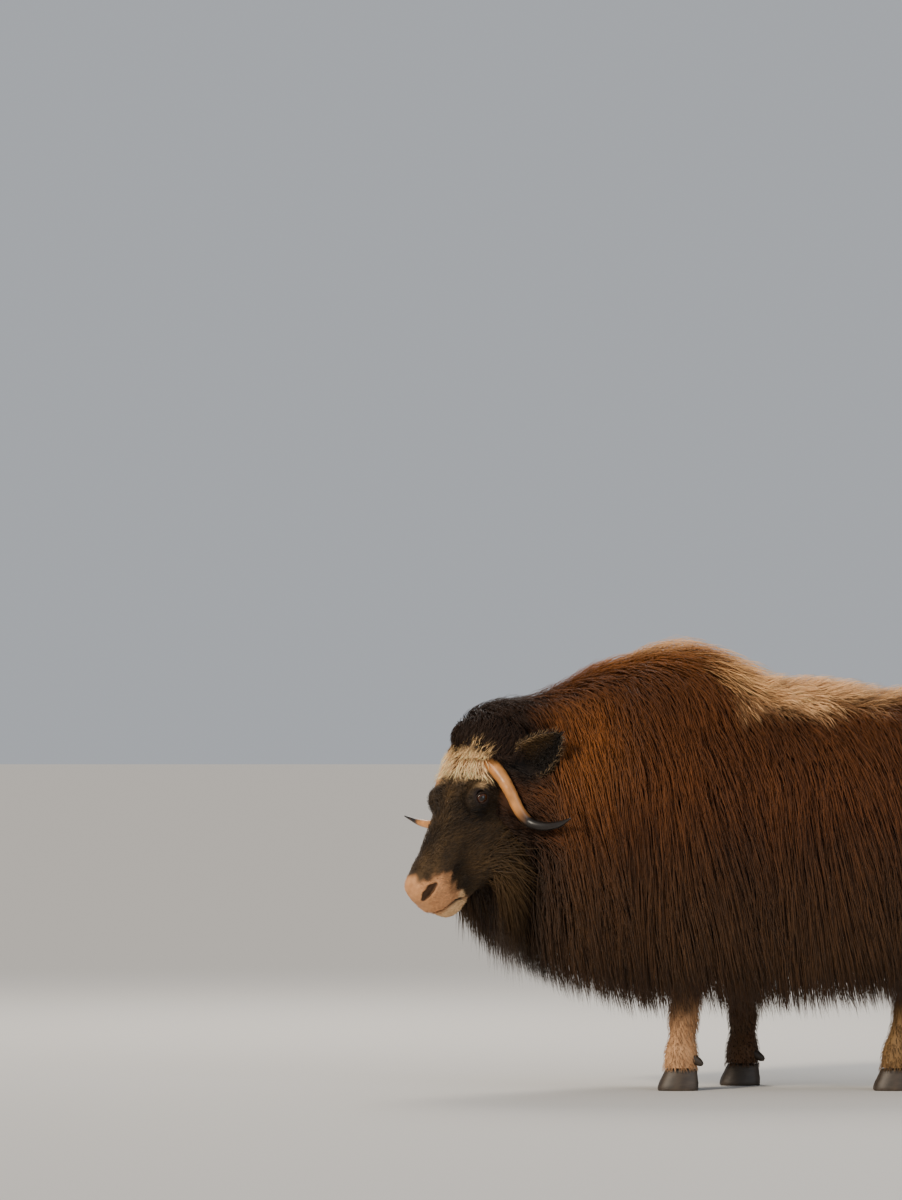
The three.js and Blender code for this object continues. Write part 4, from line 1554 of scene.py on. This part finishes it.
    def clear_of(self, paths: Array, spines: Sequence[Spine]) -> Array:
        """Tells which tufts keep clear of the horns and ears.

        Args:
            paths: the tufts' paths.
            spines: for each horn and ear, its middle line and how near a tuft may come to each place of it.

        Returns:
            True for each tuft that keeps clear.
        """
        places = np.concatenate([paths, (paths[:, 1:] + paths[:, :-1]) / 2.0], axis=1)
        clear = np.ones(len(paths), dtype=bool)
        for line, reach in spines:
            for place, near in zip(line, reach):
                clear &= (((places - place) ** 2).sum(axis=2) > near * near).all(axis=1)
        return clear

    def long_coat(self, points: Array, faces: Array, spines: Sequence[Spine]) -> Tufts:
        """Grows the long hair of the neck, shoulders, flanks and rump, down to the skirt.

        Args:
            points: the skin's points.
            faces: its quads.
            spines: the middle lines to keep clear of.

        Returns:
            The tufts.
        """
        middles = points[faces].mean(axis=1)
        on_trunk = ~self.anatomy.is_head(middles) & ~self.anatomy.is_limb(middles)
        under = slope(self.anatomy.trunk, middles)[:, 2] < -0.75
        saddle = self.markings.on_saddle(middles)
        weight = on_trunk * np.where(under, 0.15, 1.0) * (1.0 - 0.93 * saddle) * (1.0 + self.on_poll(middles))
        weight = weight * (middles[:, 2] > self.hem(middles[:, 0]) + 0.05)
        roots = self.roots(points, faces, weight, self.long_tufts)
        z = roots[:, 2]
        mane = ramp(roots[:, 0], 0.05, -0.15)
        by_head, on_poll = self.by_head(roots), self.on_poll(roots)
        top = mix(0.13, 0.20, mane)
        length = mix(top, 0.33, ramp(z, 1.12, 0.84)) * self.random.uniform(0.75, 1.2, len(roots))
        hem = self.hem(roots[:, 0] + 0.04)
        to_hem = z - hem + np.abs(self.random.normal(0, 0.018, len(roots)))
        reaches = (self.random.random(len(roots)) < 0.62) & (z < 0.92)
        to_reach = to_hem * self.random.uniform(0.9, 1.0, len(roots))
        length = np.where(reaches, to_reach, np.minimum(length, to_hem))
        length = mix(np.clip(length, 0.06, 0.62), 0.070, by_head)
        nape = ramp(roots[:, 0], -0.30, -0.40) * ramp(z, 0.98, 1.05)
        length = mix(length, 0.12, nape * 0.7)
        length = mix(length, 0.050, on_poll) * self.random.uniform(0.85, 1.1, len(roots))
        depth = mix(mix(0.055, 0.080, mane), 0.090, ramp(z, 1.10, 0.70))
        depth = mix(mix(depth, 0.038, nape), 0.018, by_head)
        depth = mix(depth, mix(0.010, 0.022, ramp(roots[:, 0], -0.78, -0.70)), on_poll)
        lift = depth * self.random.uniform(0.35, 1.0, len(roots)) ** 0.7
        lift = lift * mix(1.0, self.random.uniform(0.5, 1.5, len(roots)), on_poll)
        flow = self.trunk_flow(roots)
        rise = (0, 0.55, 0.85, 1, 1)
        paths, facing = self.grow(self.hair_field, roots, flow, length, lift, self.long_steps, 0.006, rise)
        paths[:, 1:-1] += self.random.normal(0, 0.0035, paths[:, 1:-1].shape)
        wave = 0.005 * np.stack([drift(paths[:, k] + k, 0.09, 23) for k in range(paths.shape[1])], axis=1)
        paths[:, 1:, 0] += wave[:, 1:]
        paths = self.gather(paths, len(roots) // 8, 0.26)
        paths = self.trimmed(paths)
        keep = self.clear_of(paths, spines)
        colour = self.markings.trunk(paths[:, 1])
        patches = 1.0 + 0.15 * drift(roots * np.array([1.0, 1.0, 0.45]), 0.11, 24)[:, None]
        shade = self.random.uniform(0.74, 1.28, (len(roots), 1)) * patches
        # The tips are lighter and warmer than the hair's colour: a painted golden highlight on the hair ends
        tip = self.markings.trunk(paths[:, -1]) * shade * np.array([1.42, 1.36, 1.2])
        width = self.random.uniform(0.0021, 0.0036, len(roots))
        tufts = Tufts(paths, facing, width, colour * shade * 0.62, tip, self.unwrap.trunk(roots))
        return tufts.take(keep)

    def hem(self, x: Array) -> Array:
        """Returns the height of the skirt's edge at each X."""
        return np.interp(x, self.skirt_x, self.skirt_z)

    def trimmed(self, paths: Array) -> Array:
        """Draws paths up so that no tip hangs under the skirt's ragged edge.

        Args:
            paths: the tufts' paths.

        Returns:
            The paths drawn up.
        """
        root, tip = paths[:, 0, 2], paths[:, -1, 2]
        edge = self.hem(paths[:, -1, 0]) + 0.012 * drift(paths[:, -1], 0.07, 22)
        edge = edge - 0.018 + self.random.exponential(0.022, len(paths))
        share = np.where(tip < edge, (root - edge) / np.maximum(root - tip, 1e-6), 1.0)
        share = np.clip(share, 0.05, 1.0)
        drawn = paths.copy()
        drawn[:, :, 2] = root[:, None] + (paths[:, :, 2] - root[:, None]) * share[:, None]
        return drawn

    def short_coat(self, points: Array, faces: Array, spines: Sequence[Spine]) -> Tufts:
        """Grows the shorter hair of the saddle, hump top and back, which lies close.

        Args:
            points: the skin's points.
            faces: its quads.
            spines: the middle lines to keep clear of.

        Returns:
            The tufts.
        """
        middles = points[faces].mean(axis=1)
        on_trunk = ~self.anatomy.is_head(middles) & ~self.anatomy.is_limb(middles)
        weight = ramp(middles[:, 2], 0.96, 1.06) * 0.7 + self.markings.on_saddle(middles) * 1.6
        weight = on_trunk * (weight + self.by_head(middles) * 1.5)
        roots = self.roots(points, faces, weight, self.short_trunk)
        saddle = self.markings.on_saddle(roots)
        length = mix(0.10, 0.085, saddle) * self.random.uniform(0.7, 1.25, len(roots))
        nape = ramp(roots[:, 0], -0.30, -0.40)
        lift = mix(mix(0.060, 0.030, nape), 0.082, saddle) * self.random.uniform(0.5, 1.0, len(roots))
        by_head = self.by_head(roots)
        length, lift = mix(length, 0.05, by_head), mix(lift, 0.016, by_head)
        flow = self.trunk_flow(roots)
        rise = (0, 0.7, 0.95, 1)
        paths, facing = self.grow(self.hair_field, roots, flow, length, lift, 3, 0.004, rise)
        paths = self.gather(paths, len(roots) // 12, 0.5)
        keep = self.clear_of(paths, spines)
        colour = self.markings.trunk(paths[:, 1])
        shade = self.random.uniform(0.75, 1.2, (len(roots), 1))
        width = self.random.uniform(0.0020, 0.0034, len(roots))
        uv = self.unwrap.trunk(roots)
        return Tufts(paths, facing, width, colour * shade * 0.7, colour * shade * 1.15, uv).take(keep)

    def face_coat(self, points: Array, faces: Array, spines: Sequence[Spine]) -> Tufts:
        """Grows the hair of the head: short on the muzzle, longer on the cheeks, brow and throat.

        Args:
            points: the skin's points.
            faces: its quads.
            spines: the middle lines to keep clear of.

        Returns:
            The tufts.
        """
        middles = points[faces].mean(axis=1)
        local = self.anatomy.pose.local(middles)
        clear = self.anatomy.nostrils(local) > 0.004
        clear &= self.anatomy.mouth(local) < self.anatomy.lip_depth * 0.2
        clear &= self.from_eye(local) > 0.0235
        nose_pad = (local[:, 0] < 0.03) & (local[:, 1] > -0.055) & (np.abs(local[:, 2]) < 0.030)
        weight = self.anatomy.is_head(middles) & clear
        weight = weight * np.where(nose_pad, 0.0, 1.0) * mix(1.5, 0.8, ramp(local[:, 0], 0.05, 0.3))
        weight = weight * (1.0 + 1.2 * ramp(local[:, 1], -0.08, -0.14))
        roots = self.roots(points, faces, weight, self.face_tufts)
        place = self.anatomy.pose.local(roots)
        back, up, left = place[:, 0], place[:, 1], place[:, 2]
        crown = ramp(back, 0.33, 0.39) * ramp(up, 0.03, 0.07)
        throat = ramp(back, 0.10, 0.22) * ramp(up, -0.06, -0.13)
        length = mix(mix(0.006, 0.026, ramp(back, 0.04, 0.22)), 0.052, crown)
        length = length * mix(0.35, 1.0, ramp(self.from_eye(place), 0.024, 0.055))
        hanging = np.clip(roots[:, 2] - self.hem(roots[:, 0] + 0.02), 0.03, 0.34)
        length = mix(length, hanging, throat)
        length = length * self.random.uniform(0.7, 1.25, len(roots))
        outward = 0.25 * np.sign(left) + 4.0 * left * crown
        way = np.stack([0.8 - 2.4 * crown, -0.25 - 0.1 * crown, outward], axis=1)
        flow = self.anatomy.pose.turn(way)
        hangs = np.clip(throat + ramp(back, 0.2, 0.34) * 0.5 - crown, 0, 1)
        flow = mix(flow, np.array([0.12, 0.0, -1.0]), hangs[:, None])
        flow = flow + self.random.normal(0, 0.25, flow.shape) * mix(1.0, 0.3, throat)[:, None]
        lift = length * mix(0.28, 0.42, crown)
        rise = (0, 0.6, 0.9, 1)
        paths, facing = self.grow(self.anatomy.head_bare, roots, flow, length, lift, 3, 0.0015, rise)
        paths = self.gather(paths, len(roots) // 7, 0.4)
        eyes = [(self.eye_front(side)[None], np.array([0.0165])) for side in Side]
        keep = self.clear_of(paths, [*spines, *eyes]) & (paths[:, :, 1] > -self.face_reach).all(axis=1)
        colour = self.markings.head(place)
        shade = self.random.uniform(0.6, 1.5, (len(roots), 1))
        pale = (self.random.random(len(roots)) < 0.2)[:, None] * (colour.max(axis=1) < 0.12)[:, None]
        tip = mix(colour * shade * 1.25, self.markings.grizzle * 1.3, pale * 0.7)
        width = mix(0.0014, 0.0026, ramp(length, 0.012, 0.06))
        return Tufts(paths, facing, width, colour * shade * 0.75, tip, self.unwrap.head(roots)).take(keep)

    def from_eye(self, local: Array) -> Array:
        """Returns how far each head place is from the nearer eye's middle."""
        mirrored = np.stack([local[:, 0], local[:, 1], np.abs(local[:, 2])], axis=1)
        return np.linalg.norm(mirrored - self.anatomy.eye, axis=1)

    def eye_front(self, side: Side) -> Array:
        """Returns the design place just inside the front of an eye."""
        front = self.anatomy.eye + np.array(Eye.out) * 0.013
        return self.anatomy.pose.place(front * side.mirror)

    def limb_coat(self, points: Array, faces: Array) -> Tufts:
        """Grows the close hair of the legs, down to the hooves.

        Args:
            points: the skin's points.
            faces: its quads.

        Returns:
            The tufts.
        """
        middles = points[faces].mean(axis=1)
        weight = self.anatomy.is_limb(middles) & (middles[:, 2] < 0.42)
        roots = self.roots(points, faces, weight, self.limb_tufts)
        length = mix(0.016, 0.040, ramp(roots[:, 2], 0.12, 0.32)) * self.random.uniform(0.8, 1.3, len(roots))
        fringe = ramp(roots[:, 2], 0.095, 0.075)
        length = length + 0.014 * fringe
        length = np.minimum(length, roots[:, 2] - 0.050)
        flow = np.array([0.15, 0.0, -1.0]) + self.random.normal(0, 0.12, roots.shape)
        lift = length * 0.22 + 0.002
        paths, facing = self.grow(self.anatomy.limbs, roots, flow, length, lift, 2, 0.002, (0, 0.7, 1))
        colour = self.markings.limb(roots, self.anatomy.nearest_leg(roots))
        shade = self.random.uniform(0.7, 1.25, (len(roots), 1))
        width = self.random.uniform(0.0018, 0.0030, len(roots))
        uv = self.unwrap.limb(roots)
        return Tufts(paths, facing, width, colour * shade * 0.7, colour * shade * 1.1, uv)

    def ear_coat(self, ear: Ear, side: Side) -> Tufts:
        """Grows black hair on the back of an ear and long pale hair in its cup.

        Args:
            ear: the ears.
            side: which of them.

        Returns:
            The tufts.
        """
        points, faces, outward, facts = ear.shape(side)
        roots = self.roots(points, faces, np.ones(len(faces)), self.ear_tufts)
        tree = KDTree(len(points))
        for i, point in enumerate(points):
            tree.insert(Vector(point), i)
        tree.balance()
        facts = facts[[tree.find(Vector(root))[1] for root in roots]]
        keep = facts[:, 0] > 0.04
        roots, facts = roots[keep], facts[keep]
        along, inner = facts[:, 0], facts[:, 2] < 0
        axis = self.anatomy.pose.turn(ear.reach(side) * side.mirror)
        centre = self.anatomy.pose.place((ear.root + ear.reach(side) * along[:, None]) * side.mirror)
        away = unit(roots - centre)
        out = np.where(inner[:, None], unit(outward - 0.4 * away), away)
        length = np.where(inner, 0.030, 0.020) * self.random.uniform(0.7, 1.3, len(roots))
        stray = 0.2 * self.random.normal(0, 1, roots.shape)
        way = unit(axis + out * np.where(inner, 0.75, 0.35)[:, None] + stray)
        half, whole = way * (length * 0.5)[:, None], way * length[:, None]
        paths = np.stack([roots - out * 0.001, roots + half, roots + whole], axis=1)
        facing = np.repeat(out[:, None], 3, axis=1)
        # The ear's hair takes its painted shade from Ear.hue, and the hair along its edges is paler: a
        # painted highlight on the rim
        rim = ramp(np.abs(facts[:, 1] - 0.5), 0.36, 0.43)[:, None]
        hue = mix(ear.hue(self.markings, facts), self.markings.cream * 0.6, rim * 0.5)
        shade = self.random.uniform(0.6, 1.4, (len(roots), 1))
        width = self.random.uniform(0.0014, 0.0024, len(roots))
        uv = self.unwrap.head(roots)
        return Tufts(paths, facing, width, hue * shade * 0.8, hue * shade * 1.15, uv)

    def lay(self, bench: Bench, name: str, tufts: Tufts) -> None:
        """Makes the tufts into pieces that each stay under the limit, from the head to the rump.

        Args:
            bench: where pieces are made.
            name: the pieces' shared name.
            tufts: the hair.
        """
        most = MOST_TRIANGLES // tufts.triangles
        order = np.argsort(tufts.paths[:, 0, 0])
        parts = math.ceil(len(order) / most)
        for number, chosen in enumerate(np.array_split(order, parts), start=1):
            points, faces, hue, uv = tufts.take(chosen).mesh()
            full = f"{name}_{number}" if parts > 1 else name
            bench.piece(full, points, faces, hue, self.finish, uv=uv)

    def build(self, bench: Bench, points: Array, faces: Array, ear: Ear, horn: Horn) -> None:
        """Grows and makes the whole coat, clear of the ears and horns.

        Args:
            bench: where pieces are made.
            points: the skin's points.
            faces: its quads.
            ear: the ears.
            horn: the horns.
        """
        horns, ears, cups = [], [], []
        share = np.linspace(0, 1, 40)
        radii = np.interp(share, np.linspace(0, 1, len(horn.radii)), horn.radii)
        for side in Side:
            horns.append((horn.path(side, len(share)), radii + 0.004))
            leaf = self.anatomy.pose.place((ear.root + ear.reach(side) * share[:, None]) * side.mirror)
            ears.append((leaf[5:], np.full(len(leaf) - 5, self.ear_room)))
            cups.append((leaf[12:], np.full(len(leaf) - 12, self.cup_room)))
        self.lay(bench, "coat_long", self.long_coat(points, faces, horns + ears))
        self.lay(bench, "coat_short", self.short_coat(points, faces, horns + cups))
        self.lay(bench, "hair_face", self.face_coat(points, faces, horns))
        self.lay(bench, "hair_legs", self.limb_coat(points, faces))
        on_ears = Tufts.joined(*(self.ear_coat(ear, side) for side in Side))
        self.lay(bench, "hair_ears", on_ears)


@dataclass
class Studio:
    """The photograph's long-lens view, a pale floor, and soft light that is warm from the camera's left."""

    distance: float = 20.0
    scale: float = 0.0029  # metres to a pixel of the photograph at the animal
    frame_width: int = 902
    frame_height: int = 1200
    origin_x: float = 741.5  # the photograph's column of the design frame's X zero
    floor_y: float = 1087.0  # the photograph's row of the floor under the animal
    camera_height: float = 1.04
    middle: Triple = (-0.1, 0.0, 0.75)  # where the lamps point
    floor_reach: float = 400.0
    floor_colour: tuple[float, float, float, float] = (0.62, 0.60, 0.57, 1.0)

    def camera(self, shift: Array) -> None:
        """Places the camera as the photograph's was.

        Args:
            shift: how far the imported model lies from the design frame.
        """
        lens = bpy.data.cameras.new("view")
        lens.sensor_fit = "HORIZONTAL"
        lens.sensor_width = 36.0
        lens.lens = 36.0 * self.distance / (self.scale * self.frame_width)
        lens.clip_end = 200.0
        middle_x = (self.frame_width / 2 - self.origin_x) * self.scale
        middle_z = (self.floor_y - self.frame_height / 2) * self.scale
        camera = bpy.data.objects.new("view", lens)
        camera.location = Vector(np.array([middle_x, -self.distance, self.camera_height]) + shift)
        rise = math.atan2(middle_z - self.camera_height, self.distance)
        camera.rotation_euler = (math.pi / 2 + rise, 0.0, 0.0)
        bpy.context.collection.objects.link(camera)
        bpy.context.scene.camera = camera

    def lamp(self, name: str, place: Triple, power: float, size: float, tint: Triple) -> None:
        """Adds a soft square light that faces the animal's middle.

        Args:
            name: the light's name.
            place: where it hangs.
            power: its power in watts.
            size: the length of its side.
            tint: its colour.
        """
        light = bpy.data.lights.new(name, "AREA")
        light.energy = power
        light.size = size
        light.color = tint
        made = bpy.data.objects.new(name, light)
        made.location = place
        aim = Vector(self.middle) - Vector(place)
        made.rotation_euler = aim.to_track_quat("-Z", "Y").to_euler()
        bpy.context.collection.objects.link(made)

    def sun(self, name: str, place: Triple, power: float, degrees: float, tint: Triple) -> None:
        """Adds a far light.

        Args:
            name: the light's name.
            place: the direction that it shines from.
            power: its strength.
            degrees: how wide it is in the sky.
            tint: its colour.
        """
        light = bpy.data.lights.new(name, "SUN")
        light.energy = power
        light.angle = math.radians(degrees)
        light.color = tint
        made = bpy.data.objects.new(name, light)
        made.rotation_euler = (-Vector(place)).to_track_quat("-Z", "Y").to_euler()
        bpy.context.collection.objects.link(made)

    def floor(self) -> None:
        """Lays a wide pale floor."""
        mesh = bpy.data.meshes.new("floor")
        half = self.floor_reach
        corners = [(-half, -half, 0), (half, -half, 0), (half, half, 0), (-half, half, 0)]
        mesh.from_pydata(corners, [], [(0, 1, 2, 3)])
        made = bpy.data.objects.new("floor", mesh)
        paint = bpy.data.materials.new("floor_paint")
        paint.use_nodes = True
        shader = paint.node_tree.nodes["Principled BSDF"]
        shader.inputs["Base Color"].default_value = self.floor_colour
        shader.inputs["Roughness"].default_value = 0.9
        mesh.materials.append(paint)
        bpy.context.collection.objects.link(made)

    def build(self, shift: Array) -> None:
        """Sets the camera, floor, lights and the even light all round.

        Args:
            shift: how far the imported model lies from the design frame.
        """
        self.camera(shift)
        self.floor()
        self.sun("key", (-6.0, -7.0, 4.6), 3.4, 9.0, (1.0, 0.87, 0.70))
        self.lamp("fill", (5.0, -6.0, 3.0), 200.0, 5.0, (0.86, 0.92, 1.0))
        self.lamp("rim", (-1.0, 5.0, 5.5), 300.0, 3.0, (1.0, 0.94, 0.85))
        world = bpy.data.worlds.new("even_light")
        world.use_nodes = True
        sky = world.node_tree.nodes["Background"]
        sky.inputs["Color"].default_value = (0.80, 0.84, 0.90, 1.0)
        sky.inputs["Strength"].default_value = 0.55
        bpy.context.scene.world = world


def main() -> None:
    logging.basicConfig(level=logging.INFO, format="%(name)s %(message)s")
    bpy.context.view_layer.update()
    anatomy = Anatomy()
    markings = Markings()
    bench = Bench(anatomy)
    Studio().build(bench.shift)
    points, faces = Skin(anatomy, markings).build(bench)
    ear = Ear(anatomy)
    ear.build(bench, markings)
    horn = Horn(anatomy)
    horn.build(bench)
    Eye(anatomy).build(bench)
    Hooves(anatomy).build(bench)
    Coat(anatomy, markings).build(bench, points, faces, ear, horn)


if __name__ == "__main__":
    main()
